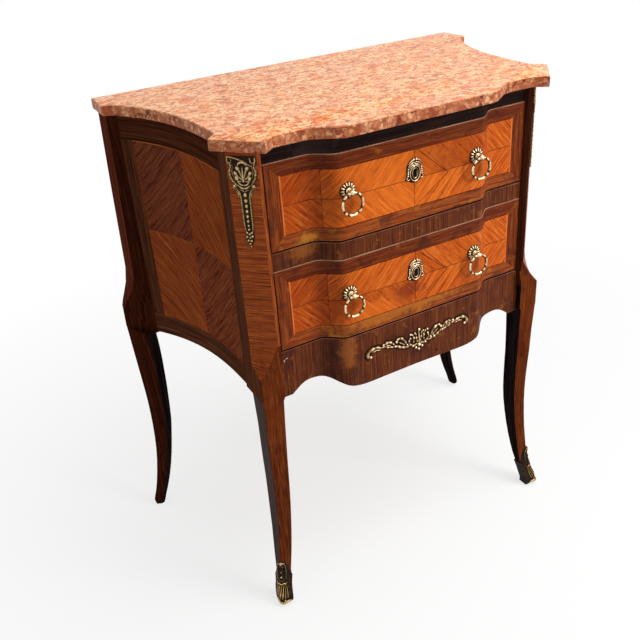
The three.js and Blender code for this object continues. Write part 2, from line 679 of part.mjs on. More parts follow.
const lowRailFrontY = APRON_THICKNESS - CASE_DEPTH + FIT;
add("bottom_front_rail", box(-railEndX, railEndX, lowRailFrontY, railBackY,
  lowerBottom - RUNNER_THICKNESS, lowerBottom), oak);

// Rails and panel of the back
const rearKeys = bothEnds(() => dovetailKey(rearRailEndX, rearRailMidY - TENON_SHOULDER, 0, 0));
const rearRailFrontY = -(BACK_INSET + BACK_RAIL_DEPTH);
const panelReachX = rearInnerX + BACK_GROOVE - FIT;

function panelGroove(z0, z1) {
  return box(-panelReachX - OVERRUN, panelReachX + OVERRUN, backPanelFrontY - FIT,
    backPanelFrontY + BACK_THICKNESS + FIT, z0, z1);
}

const topRailBottom = caseTop - BACK_TOP_RAIL_HEIGHT;
add("top_rear_rail", cut(joined(box(-rearRailEndX, rearRailEndX, rearRailFrontY, -BACK_INSET,
  topRailBottom, caseTop), ...rearKeys),
panelGroove(topRailBottom - OVERRUN, topRailBottom + BACK_GROOVE)), oak);

const lowBackTenons = bothEnds(() => tenon(rearRailEndX, rearRailMidY,
  backRailBottom + TENON_SHOULDER, backRailTop - BACK_GROOVE - TENON_SHOULDER, 0));
add("bottom_rear_rail", cut(joined(box(-rearRailEndX, rearRailEndX, rearRailFrontY,
  -BACK_INSET, backRailBottom, backRailTop), ...lowBackTenons),
panelGroove(backRailTop - BACK_GROOVE, backRailTop + OVERRUN)), oak);

add("back_panel", box(-panelReachX, panelReachX, backPanelFrontY,
  backPanelFrontY + BACK_THICKNESS, backRailTop - BACK_GROOVE + FIT,
  topRailBottom + BACK_GROOVE - FIT), oak);

// Runners: an L in section, the drawer side slides on its flat and against its guide
const runnerInnerX = OPENING_HALF - RUNNER_INSIDE;
const runnerFrontY = railBackY + FIT;
const runnerRearY = backPanelFrontY - FIT;

function runner(level) {
  const outerX = OPENING_HALF + GUIDE_WIDTH;
  const under = level - RUNNER_THICKNESS;
  const grooveBottom = under + BOARD_RISE;
  const grooveTop = grooveBottom + BOARD_THICKNESS + 2 * FIT;
  const outline = [
    vec(runnerInnerX, under), vec(outerX, under), vec(outerX, level + GUIDE_HEIGHT),
    vec(OPENING_HALF, level + GUIDE_HEIGHT), vec(OPENING_HALF, level),
    vec(runnerInnerX, level), vec(runnerInnerX, grooveTop),
    vec(runnerInnerX + BOARD_GROOVE, grooveTop), vec(runnerInnerX + BOARD_GROOVE, grooveBottom),
    vec(runnerInnerX, grooveBottom),
  ];
  return facing(outline, runnerRearY, runnerFrontY);
}

addPair("upper_runner", runner(upperBottom), oak);
addPair("lower_runner", runner(lowerBottom), oak);

function dustBoard(level) {
  const under = level - RUNNER_THICKNESS + BOARD_RISE + FIT;
  const half = runnerInnerX + BOARD_GROOVE - FIT;
  return box(-half, half, runnerFrontY, runnerRearY, under, under + BOARD_THICKNESS);
}

add("dust_board", dustBoard(upperBottom), oak);
add("bottom_board", dustBoard(lowerBottom), oak);

// Kickers keep the upper drawer level when it is pulled out
addPair("kicker", box(railEndX - KICKER_WIDTH, railEndX, runnerFrontY, rearRailFrontY - FIT,
  upperTop, upperTop + KICKER_THICKNESS), oak);

// Drawer stops, glued on the rails behind the drawer fronts
function drawerStop(level) {
  const middle = OPENING_HALF - STOP_FROM_SIDE;
  return box(middle - STOP_WIDTH / 2, middle + STOP_WIDTH / 2,
    drawerInnerY + FIT, drawerInnerY + FIT + STOP_DEPTH, level + FIT, level + FIT + STOP_HEIGHT);
}

addPair("upper_stop", drawerStop(upperBottom), oak);
addPair("lower_stop", drawerStop(lowerBottom), oak);

// Drawers. A side's ends are cut as dovetails; the same outline, grown by the joint's gap,
// cuts the sockets in the front and in the back.
const sideOuterX = OPENING_HALF - DRAWER_SIDE_GAP;
const sideInnerX = sideOuterX - DRAWER_SIDE_THICKNESS;
const drawerRearY = backPanelFrontY - DRAWER_BACK_CLEARANCE;

// One row of tails along a board's end: from the shoulder at y to the tip, top to bottom
function tails(shoulderY, tipY, z0, z1, gap) {
  const pitch = (z1 - z0) / TAIL_COUNT;
  const half = pitch * (1 - PIN_SHARE) / 2;
  const flare = Math.abs(tipY - shoulderY) * TAIL_FLARE_SHARE;
  const points = [];
  for (let i = 0; i < TAIL_COUNT; i += 1) {
    const middle = z0 + pitch * (i + 1 / 2);
    points.push(vec(shoulderY, middle - half - gap), vec(tipY, middle - half - flare - gap),
      vec(tipY, middle + half + flare + gap), vec(shoulderY, middle + half + gap));
  }
  return points;
}

// The sockets for those tails, as separate tools
function sockets(shoulderY, tipY, z0, z1, x0, x1) {
  const reach = Math.sign(tipY - shoulderY);
  const row = tails(shoulderY - reach * OVERRUN, tipY + reach * FIT, z0, z1, FIT);
  const tools = [];
  for (let i = 0; i < row.length; i += 4) {
    tools.push(across(row.slice(i, i + 4), x0, x1));
  }
  return tools;
}

function buildDrawer(level, openingBottom, openingTop, leftPull) {
  const bottom = openingBottom + DRAWER_GAP;
  const sideBottomZ = openingBottom + FIT;
  const top = openingTop - DRAWER_GAP;
  const sideTop = top - DRAWER_SIDE_DROP;
  const tipY = drawerInnerY - TAIL_LENGTH;
  const backTipY = drawerRearY;
  const backShoulderY = drawerRearY - DRAWER_BACK_THICKNESS;
  const boardBottom = bottom + DRAWER_BOTTOM_RISE;
  const boardTop = boardBottom + DRAWER_BOTTOM_THICKNESS;
  const backBottom = boardTop + FIT;
  const frontHalf = OPENING_HALF - DRAWER_GAP;

  // Side board with tails at both ends and a groove for the bottom
  const frontTails = tails(drawerInnerY + FIT, tipY, bottom, sideTop, 0).reverse();
  const rearTails = tails(backShoulderY - FIT, backTipY, backBottom, sideTop, 0);
  const outline = [
    vec(drawerInnerY + FIT, sideBottomZ), vec(backShoulderY - FIT, sideBottomZ), ...rearTails,
    vec(backShoulderY - FIT, sideTop), vec(drawerInnerY + FIT, sideTop), ...frontTails,
  ];
  const groove = box(sideInnerX - OVERRUN, sideInnerX + DRAWER_GROOVE,
    drawerInnerY - TAIL_LENGTH - OVERRUN, drawerRearY + OVERRUN, boardBottom - FIT, boardTop + FIT);
  const side = cut(across(outline, sideInnerX, sideOuterX), groove);
  addPair(`${level}_drawer_side`, side, oak);

  // Front block: sockets, groove, lock pocket, keyhole and the holes for the pulls
  const frontTools = sockets(drawerInnerY, tipY, bottom, sideTop, sideInnerX - FIT,
    frontHalf + OVERRUN);
  const middle = (openingBottom + openingTop) / 2;
  const pocketHalf = LOCK_WIDTH / 2 + FIT;
  const pocket = box(-pocketHalf, pocketHalf, lockFrontY - FIT, lockBackY + OVERRUN,
    top - LOCK_HEIGHT - FIT, top + OVERRUN);
  const boardSlot = box(-sideInnerX - DRAWER_GROOVE, sideInnerX + DRAWER_GROOVE,
    drawerInnerY - DRAWER_GROOVE, drawerInnerY + OVERRUN, boardBottom - FIT, boardTop + FIT);
  const keyhole = keyholeTool(middle + KEYHOLE_RISE, lockFrontY + FIT, faceY - OVERRUN);
  const studHole = facing(circle(0, 0, STUD_RADIUS + FIT, STUD_SIDES), drawerInnerY + OVERRUN,
    faceY - OVERRUN);
  const studHoles = [PULL_FROM_CENTRE, -leftPull].map((x) => (
    studHole.clone().translate(x, 0, middle + PULL_RISE)));
  const front = cut(frontBlank(frontHalf, drawerInnerY, bottom, top), ...frontTools,
    ...frontTools.map(mirrored), pocket, boardSlot, keyhole, ...studHoles);
  add(`${level}_drawer_front`, front, tulipwood);

  // Back board, standing on the bottom board, with sockets for the rear tails
  const backTools = sockets(backShoulderY, backTipY, backBottom, sideTop, sideInnerX - FIT,
    sideOuterX + OVERRUN);
  const back = cut(box(-sideOuterX, sideOuterX, backShoulderY, drawerRearY, backBottom, sideTop),
    ...backTools, ...backTools.map(mirrored));
  add(`${level}_drawer_back`, back, oak);

  const boardHalf = sideInnerX + DRAWER_GROOVE - FIT;
  add(`${level}_drawer_bottom`, box(-boardHalf, boardHalf, drawerInnerY - DRAWER_GROOVE + FIT,
    drawerRearY, boardBottom, boardTop), oak);

  addLock(level, top, middle + KEYHOLE_RISE);
  add(`${level}_escutcheon`, escutcheon().translate(0, 0, middle + KEYHOLE_RISE), bronze);
  addPull(level, "right", PULL_FROM_CENTRE, middle + PULL_RISE);
  addPull(level, "left", -leftPull, middle + PULL_RISE);
}

// A round outline in two dimensions
function circle(x, y, radius, sides) {
  return Array.from({ length: sides }, (_, i) => {
    const angle = 2 * Math.PI * i / sides;
    return vec(x + radius * Math.cos(angle), y + radius * Math.sin(angle));
  });
}

function ellipse(x, y, halfWidth, halfHeight, sides) {
  return circle(0, 0, 1, sides).map((p) => vec(x + p.x * halfWidth, y + p.y * halfHeight));
}

const STUD_SIDES = 12;
const EYE_SIDES = 10;
const NUT_SIDES = 6;
const KEYHOLE_SIDES = 14;

// Keyhole: a round hole with a slot below it, through from one plane to another
function keyholeOutline(grow) {
  const half = KEYHOLE_SLOT_WIDTH / 2 + grow;
  const radius = KEYHOLE_RADIUS + grow;
  const start = Math.asin(half / radius) - Math.PI / 2;
  const sweep = 2 * Math.PI - 2 * (start + Math.PI / 2);
  const round = Array.from({ length: KEYHOLE_SIDES + 1 }, (_, i) => {
    const angle = start + sweep * i / KEYHOLE_SIDES;
    return vec(radius * Math.cos(angle), radius * Math.sin(angle));
  });
  const foot = -KEYHOLE_SLOT_LENGTH - grow;
  return [vec(half, foot), ...round, vec(-half, foot)];
}

function keyholeTool(z, backY, frontY) {
  return facing(keyholeOutline(0), backY, frontY).translate(0, 0, z);
}

// Lock: a brass case let into the back of the drawer front, and its bolt
function addLock(level, top, keyZ) {
  const half = LOCK_WIDTH / 2;
  const lockTop = top - FIT;
  const lockBottom = top - LOCK_HEIGHT;
  const caseBody = box(-half, half, lockFrontY, lockBackY + FIT + LOCK_PLATE_THICKNESS,
    lockBottom, lockTop);
  const plateHalf = half + LOCK_PLATE_MARGIN;
  const plate = box(-plateHalf, plateHalf, lockBackY + FIT,
    lockBackY + FIT + LOCK_PLATE_THICKNESS, lockBottom - LOCK_PLATE_MARGIN, lockTop);
  const boltBottom = lockTop - BOLT_HEIGHT;
  const well = boltSlot(boltBottom - FIT, lockTop + OVERRUN, FIT);
  const keyWell = keyholeTool(keyZ, boltMidY, lockFrontY - OVERRUN);
  add(`${level}_lock_case`, cut(joined(caseBody, plate), well, keyWell), brass);
  add(`${level}_lock_bolt`, boltSlot(boltBottom, lockTop, 0), steel);
}

// Escutcheon: an oval plate with a raised rim round the keyhole and a leaf crest. Shares of
// its half width and half height: the plate, the rim outside and inside, and a leaf.
const PLATE_SHARES = [0.86, 0.8];
const PLATE_DROP_SHARE = 0.18;
const RIM_OUTER_SHARES = [0.5, 0.52];
const RIM_INNER_SHARES = [0.34, 0.38];
const LEAF_SIZE_SHARES = [0.24, 0.3];
const LEAF_SHARES = [[0, 0.7], [0.32, 0.52], [0.6, 0.32]]; // leaves of the crest: out, up
const RIM_SIDES = 20;

// A small swelling of the cast work: a ball flattened onto its plate
function boss(halfWidth, thick, halfHeight) {
  return ball(6, 4).scale(halfWidth, thick, halfHeight);
}

function escutcheon() {
  const halfW = ESCUTCHEON_WIDTH / 2;
  const halfH = ESCUTCHEON_HEIGHT / 2;
  const backY = faceY - FIT;
  const frontY = backY - PLATE_THICKNESS;
  const oval = (shares, drop) => ellipse(0, -drop, halfW * shares[0], halfH * shares[1],
    RIM_SIDES);
  const plate = facing(oval(PLATE_SHARES, halfH * PLATE_DROP_SHARE), backY, frontY,
    [keyholeOutline(FIT)]);
  const rim = facing(oval(RIM_OUTER_SHARES, KEYHOLE_RADIUS / 2), backY - PLATE_THICKNESS / 2,
    frontY - RELIEF, [oval(RIM_INNER_SHARES, KEYHOLE_RADIUS / 2)]);
  const leaves = [];
  for (const [out, up] of LEAF_SHARES) {
    for (const side of out === 0 ? [1] : [1, -1]) {
      const leaf = boss(halfW * LEAF_SIZE_SHARES[0], PLATE_THICKNESS, halfH * LEAF_SIZE_SHARES[1]);
      leaf.rotateY(side * out);
      leaves.push(leaf.translate(side * out * halfW, frontY, halfH * up));
    }
  }
  const behind = box(-ESCUTCHEON_WIDTH, ESCUTCHEON_WIDTH, backY, backY + OVERRUN,
    -ESCUTCHEON_HEIGHT, ESCUTCHEON_HEIGHT);
  return cut(joined(plate, rim, ...leaves), behind);
}

// Rosette: a fluted daisy, made as a skin of rings whose radius swells at each petal
const ROSETTE_RING_SHARES = [
  [0, 0], [0.94, 0], [1, 0.3], [0.86, 0.72], [0.62, 0.6], [0.5, 0.5], [0.42, 0.9], [0.24, 1],
];
const FLUTE_SHARE = 0.05; // depth of the scallops between the petals

function rosette() {
  const sides = ROSETTE_PETALS * 2;
  const rings = ROSETTE_RING_SHARES.slice(1).map(([radius, height]) => (
    Array.from({ length: sides }, (_, i) => {
      const angle = 2 * Math.PI * i / sides;
      const swell = radius > 1 / 2 ? 1 + FLUTE_SHARE * Math.cos(ROSETTE_PETALS * angle) : 1;
      const r = ROSETTE_RADIUS * radius * swell;
      return new THREE.Vector3(r * Math.cos(angle), r * Math.sin(angle), ROSETTE_HEIGHT * height);
    })
  ));
  const disc = loft(rings);
  const bore = rod(STUD_RADIUS + FIT, ROSETTE_HEIGHT * 4, STUD_SIDES).rotateX(Math.PI / 2);
  return cut(disc, bore).rotateX(Math.PI / 2);
}

// Stud: a nut inside the drawer, a shank through the front, and an eyed ball outside
const COLLAR_SHARE = 0.7; // the collar's narrow end against the eye

function stud() {
  const shankLength = STUD_REACH + (drawerInnerY - faceY) + NUT_THICKNESS + FIT;
  const shank = rod(STUD_RADIUS, shankLength, STUD_SIDES);
  shank.translate(0, shankLength / 2, 0);
  const head = ball(EYE_SIDES, EYE_SIDES - 3).scale(EYE_RADIUS, EYE_RADIUS, EYE_RADIUS);
  const collar = rod(EYE_RADIUS * COLLAR_SHARE, RELIEF, STUD_SIDES, EYE_RADIUS);
  collar.translate(0, STUD_REACH - ROSETTE_HEIGHT - 2 * FIT - RELIEF / 2, 0);
  const nut = rod(NUT_RADIUS, NUT_THICKNESS, NUT_SIDES);
  nut.translate(0, shankLength - NUT_THICKNESS / 2, 0);
  const bore = rod(EYE_BORE, EYE_RADIUS * 4, STUD_SIDES);
  bore.rotateZ(Math.PI / 2);
  return cut(joined(head, shank, collar, nut), bore);
}

// Ring: leaves alternate round it, and it is plain where it hangs in the eye
const RING_STEPS = 30;
const RING_SIDES = 6;

function ring() {
  const positions = [];
  const index = [];
  for (let i = 0; i < RING_STEPS; i += 1) {
    const turn = 2 * Math.PI * i / RING_STEPS;
    const plain = Math.min(1, (1 - Math.cos(turn)) * 4);
    const wire = RING_WIRE + RING_LEAF * plain * Math.abs(Math.sin(RING_LEAVES * turn / 2));
    for (let j = 0; j < RING_SIDES; j += 1) {
      const around = 2 * Math.PI * j / RING_SIDES;
      const r = RING_RADIUS + wire * Math.cos(around);
      positions.push(r * Math.sin(turn), wire * Math.sin(around), r * Math.cos(turn));
      const k = (i + 1) % RING_STEPS;
      const l = (j + 1) % RING_SIDES;
      const [a, b] = [i * RING_SIDES + j, i * RING_SIDES + l];
      const [c, d] = [k * RING_SIDES + l, k * RING_SIDES + j];
      index.push(a, c, b, a, d, c);
    }
  }
  return skin(positions, index).translate(0, 0, -RING_RADIUS);
}

function addPull(level, side, x, z) {
  add(`${level}_rosette_${side}`, rosette().translate(x, faceY - FIT, z), bronze);
  add(`${level}_stud_${side}`, stud().translate(x, faceY - STUD_REACH, z), bronze);
  add(`${level}_ring_${side}`, ring().translate(x, faceY - STUD_REACH, z), bronze);
}

buildDrawer("upper", upperBottom, upperTop, PULL_FROM_CENTRE);
buildDrawer("lower", lowerBottom, lowerTop, LOWER_LEFT_PULL);

// Chute: the openwork drop on each canted stile. Outline as shares of its half width and
// height, from the top middle down one side.
const CHUTE_SHARES = [
  [0.9, 0], [1, 0.025], [0.98, 0.06], [0.84, 0.085], [0.86, 0.16], [0.8, 0.26], [0.62, 0.345],
  [0.66, 0.4], [0.5, 0.44], [0.36, 0.47], [0.3, 0.54], [0.28, 0.68], [0.24, 0.8], [0.3, 0.87],
  [0.22, 0.93], [0.1, 0.98],
];
const CHUTE_WINDOW_SHARES = [
  [0.5, 0.075], [0.66, 0.12], [0.66, 0.22], [0.5, 0.3], [0.2, 0.35],
];
const CHUTE_SLOT_SHARES = [[0.1, 0.42], [0.14, 0.48], [0.12, 0.66], [0.08, 0.8]];
const CHUTE_BEADS = 8;

function bothSides(shares, halfWidth, height, tip) {
  const right = shares.map(([x, z]) => vec(halfWidth * x, -height * z));
  const left = right.map((p) => vec(-p.x, p.y)).reverse();
  return tip ? [...right, vec(0, -height), ...left] : [...right, ...left];
}

// Petals of the fan in the window: half width, half length, drop. Beads below it: drop of the
// first, run of the row, size of the first and how much the last is smaller.
const CHUTE_PETAL_SHARES = [0.13, 0.115, 0.31];
const CHUTE_BEAD_SHARES = [0.43, 0.4, 0.19, 0.05];
const FAN_TURNS = [-2, -1, 0, 1, 2];

// A petal that leans out from the foot of a fan
function fanPetal(halfWidth, halfLength, lean) {
  return boss(halfWidth, PLATE_THICKNESS, halfLength).translate(0, 0, halfLength).rotateY(lean);
}

function chute() {
  const half = CHUTE_WIDTH / 2;
  const outline = bothSides(CHUTE_SHARES, half, CHUTE_HEIGHT, true);
  const window = bothSides(CHUTE_WINDOW_SHARES, half, CHUTE_HEIGHT, false);
  const slot = bothSides(CHUTE_SLOT_SHARES, half, CHUTE_HEIGHT, false);
  const plate = facing(outline, 0, -PLATE_THICKNESS - RELIEF / 2, [window, slot]);
  const [petalWidth, petalLength, fanDrop] = CHUTE_PETAL_SHARES;
  const [firstDrop, run, size, shrink] = CHUTE_BEAD_SHARES;
  const work = FAN_TURNS.map((turn) => (
    fanPetal(half * petalWidth, CHUTE_HEIGHT * petalLength, turn * Math.PI / 9)
      .translate(0, -PLATE_THICKNESS, -CHUTE_HEIGHT * fanDrop)));
  for (let i = 0; i < CHUTE_BEADS; i += 1) {
    const radius = half * (size - shrink * i / CHUTE_BEADS);
    const drop = firstDrop + run * i / (CHUTE_BEADS - 1);
    work.push(boss(radius, PLATE_THICKNESS + RELIEF / 2, radius)
      .translate(0, -PLATE_THICKNESS, -CHUTE_HEIGHT * drop));
  }
  const behind = box(-CHUTE_WIDTH, CHUTE_WIDTH, 0, OVERRUN, -CHUTE_HEIGHT * 2, CHUTE_HEIGHT);
  const front = cut(joined(plate, ...work), behind);
  front.translate(0, -FIT, 0);
  front.rotateZ(Math.PI / 4);
  return front.translate((stileFrontX + stileSideX) / 2, stileFaceY + CANT / 2,
    caseTop - CHUTE_DROP);
}

addPair("chute", chute(), bronze);

// Apron mount: leaf scrolls on each side of a flower, laid on the flat middle of the apron
const MOUNT_ARM_SHARES = [
  [0.06, 0.3], [0.18, 0.42], [0.3, 0.3], [0.44, 0.38], [0.56, 0.24], [0.7, 0.32], [0.82, 0.2],
  [0.92, 0.3], [1, 0.16], [0.97, -0.02], [0.9, -0.06], [0.84, 0.02], [0.7, 0.08],
  [0.56, 0], [0.42, 0.02], [0.3, -0.12], [0.16, -0.18], [0.05, -0.24],
];

// Petals above the flower: half width, half length, drop. The flower: its petals' radius and
// drop. All are shares of the mount's height.
const MOUNT_PETAL_SHARES = [0.11, 0.34, 0.1];
const FLOWER_SHARES = [0.13, 0.28];
const FLOWER_PETALS = 4;

function apronMount() {
  const half = APRON_MOUNT_HALF;
  const height = APRON_MOUNT_HEIGHT;
  const arms = bothSides(MOUNT_ARM_SHARES.map(([x, z]) => [x, -z]), half, height, false);
  const backY = faceY - FIT;
  const plate = facing(arms, backY, backY - PLATE_THICKNESS - RELIEF / 2);
  const [petalWidth, petalLength, fanDrop] = MOUNT_PETAL_SHARES;
  const [flowerSize, flowerDrop] = FLOWER_SHARES;
  const work = FAN_TURNS.map((turn) => (
    fanPetal(height * petalWidth, height * petalLength, turn * Math.PI / 7)
      .translate(0, backY - PLATE_THICKNESS, -height * fanDrop)));
  for (let i = 0; i < FLOWER_PETALS; i += 1) {
    const angle = Math.PI * (2 * i + 1) / FLOWER_PETALS;
    const size = height * flowerSize;
    work.push(boss(size, PLATE_THICKNESS + RELIEF / 2, size)
      .translate(size * Math.cos(angle), backY - PLATE_THICKNESS,
        size * Math.sin(angle) - height * flowerDrop));
  }
  const behind = box(-half * 2, half * 2, backY, backY + OVERRUN, -half, half);
  const front = cut(joined(plate, ...work), behind);
  return front.translate(APRON_MOUNT_SHIFT, 0, lowerBottom - APRON_MOUNT_DROP);
}

add("apron_mount", apronMount(), bronze);

// Sabots: a bronze shoe round each front foot. Its upper edge rises to a hood on the arris and
// is plain and low behind; the toe ends in a small roll.
const HOOD_SHARES = [[-1, 0], [-0.8, 0.35], [-0.5, 0.78], [0, 1], [0.5, 0.78], [0.8, 0.35], [1, 0]];
const TOE_ROLL = 4.2; // radius
const TOE_LENGTH = 15;
const TOE_SIDES = 14;
const HOOD_STEPS = 16;

function sabot() {
  const top = frontLegRingsDown.findIndex((ring) => ring[0].z > SABOT_HEIGHT) + 1;
  const low = frontLegRingsDown.slice(0, top);
  const outer = loft(low.map((ring) => grownRing(ring, FIT + SABOT_WALL)));
  const shifted = (ring, z) => ring.map((p) => new THREE.Vector3(p.x, p.y, p.z + z));
  const through = [shifted(low[0], -OVERRUN), ...low, shifted(low[top - 1], OVERRUN)];
  const inner = loft(through.map((ring) => grownRing(ring, FIT)));
  const middle = low[top - 1].reduce((sum, p) => sum.add(p), new THREE.Vector3());
  middle.divideScalar(low[0].length);
  const turned = (geometry) => geometry.rotateZ(Math.PI / 4).translate(middle.x, middle.y, 0);
  const hoodRise = SABOT_HEIGHT - SABOT_BACK_HEIGHT;
  const hood = new THREE.SplineCurve(HOOD_SHARES.map(([u, z]) => vec(HOOD_HALF * u,
    SABOT_BACK_HEIGHT + hoodRise * z))).getPoints(HOOD_STEPS);
  const above = turned(facing([vec(-KNEE_WIDTH, SABOT_BACK_HEIGHT), ...hood,
    vec(KNEE_WIDTH, SABOT_BACK_HEIGHT), vec(KNEE_WIDTH, SABOT_HEIGHT * 2),
    vec(-KNEE_WIDTH, SABOT_HEIGHT * 2)], 0, -KNEE_WIDTH));
  const behind = turned(box(-KNEE_WIDTH, KNEE_WIDTH, -FIT, KNEE_WIDTH, SABOT_BACK_HEIGHT,
    SABOT_HEIGHT * 2));
  const toe = low[0][1].clone().add(low[0][2]).divideScalar(2);
  const roll = rod(TOE_ROLL, TOE_LENGTH, TOE_SIDES).rotateZ(Math.PI / 2).rotateZ(Math.PI / 4);
  roll.translate(toe.x - SABOT_WALL, toe.y + SABOT_WALL, TOE_ROLL);
  return cut(joined(outer, roll), inner, above, behind);
}

addPair("sabot", sabot(), bronze);

const commode = new THREE.Group();
parts.position.y = totalDepth / 2;
commode.add(parts);

export default commode;
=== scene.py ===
# %% [markdown]
# A small commode with a marble top. The solids come packed with their joints, so this notebook
# only dresses them: marquetry on the fronts and sides, gilt bronze on the corners, stone on top.
# Each step says what the real thing is, how it could be made here, and why this way was taken.

# %% Load the frame
import math

import bmesh
import bpy
from mathutils import Matrix, Vector
from mathutils.bvhtree import BVHTree


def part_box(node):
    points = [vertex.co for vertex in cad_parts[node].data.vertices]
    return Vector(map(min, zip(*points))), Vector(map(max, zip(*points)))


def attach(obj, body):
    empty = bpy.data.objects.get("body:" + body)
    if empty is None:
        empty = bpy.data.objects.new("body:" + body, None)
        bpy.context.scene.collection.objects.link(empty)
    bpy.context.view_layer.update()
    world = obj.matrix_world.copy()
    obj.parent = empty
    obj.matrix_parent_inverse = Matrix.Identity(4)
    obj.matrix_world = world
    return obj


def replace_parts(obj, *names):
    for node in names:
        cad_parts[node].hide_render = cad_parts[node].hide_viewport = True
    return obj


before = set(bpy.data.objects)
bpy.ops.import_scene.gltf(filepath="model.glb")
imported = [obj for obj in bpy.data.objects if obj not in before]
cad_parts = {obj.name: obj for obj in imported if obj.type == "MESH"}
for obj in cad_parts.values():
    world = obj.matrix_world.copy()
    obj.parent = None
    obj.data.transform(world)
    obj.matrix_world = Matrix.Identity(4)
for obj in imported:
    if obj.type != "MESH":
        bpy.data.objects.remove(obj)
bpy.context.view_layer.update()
scene = bpy.context.scene

# %% [markdown]
# The camera stands to the left of the commode and above it, and is tilted a little. Its place
# was solved from straight edges of known direction, so it is written as angles and a distance
# round a point it aims at. Looking at the angles is easier than reading a matrix.

# %% Camera
AIM = Vector((-0.0750, 0.0098, 0.4234))
AZIMUTH, ELEVATION, ROLL = (math.radians(v) for v in (-27.595, 29.340, -4.437))
DISTANCE = 1.4686

backward = Vector((math.sin(AZIMUTH) * math.cos(ELEVATION),
                   -math.cos(AZIMUTH) * math.cos(ELEVATION), math.sin(ELEVATION)))
level = Vector((0, 0, 1)).cross(backward).normalized()
upward = backward.cross(level)
right = math.cos(ROLL) * level + math.sin(ROLL) * upward
up = math.cos(ROLL) * upward - math.sin(ROLL) * level

camera = bpy.data.objects.new("camera", bpy.data.cameras.new("camera"))
camera.matrix_world = Matrix((right, up, backward)).transposed().to_4x4()
camera.matrix_world.translation = AIM + backward * DISTANCE
camera.data.lens = 45.35
camera.data.sensor_width = 36
scene.collection.objects.link(camera)
scene.camera = camera
print("camera at", [round(v, 3) for v in camera.location])

# %% [markdown]
# Two helpers carry every material. Colours are written as the hex values one would pick on a
# screen, and one function turns them to the linear numbers a renderer mixes. The other adds a
# node, sets what it is told to, and joins its inputs to values or to other nodes. A third one
# tints a colour where a cloudy noise is high, since both wood and stone need that often.

# %% Colour and node helpers
MM = 0.001


def linear(hex_colour):
    channels = [int(hex_colour[i:i + 2], 16) / 255 for i in (1, 3, 5)]
    return tuple(c / 12.92 if c <= 0.04045 else ((c + 0.055) / 1.055) ** 2.4
                 for c in channels) + (1.0,)


def node(tree, kind, inputs=None, stops=(), **settings):
    """Adds a node. An input takes a value, a socket, or a node, meaning its first live output."""
    made = tree.nodes.new("ShaderNode" + kind)
    for name, value in settings.items():
        setattr(made, name, value)
    for key, value in (inputs or {}).items():
        if isinstance(value, bpy.types.Node):
            value = next(socket for socket in value.outputs if socket.enabled)
        if isinstance(value, bpy.types.NodeSocket):
            tree.links.new(value, made.inputs[key])
        else:
            made.inputs[key].default_value = value
    for i, (place, colour) in enumerate(stops):
        ramp = made.color_ramp.elements
        stop = ramp[i] if i < 2 else ramp.new(place)
        stop.position = place
        stop.color = linear(colour)
    return made


def new_material(name):
    material = bpy.data.materials.new(name)
    material.use_nodes = True
    material.node_tree.nodes.clear()
    return material, material.node_tree


def stain(tree, colour, tint, low, high, amount, cloud):
    share = node(tree, "MapRange", {"Value": node(tree, "TexNoise", cloud), "From Min": low,
                                    "From Max": high, "To Max": amount})
    return node(tree, "Mix", {"Factor": share, "A": colour, "B": linear(tint)}, data_type="RGBA")
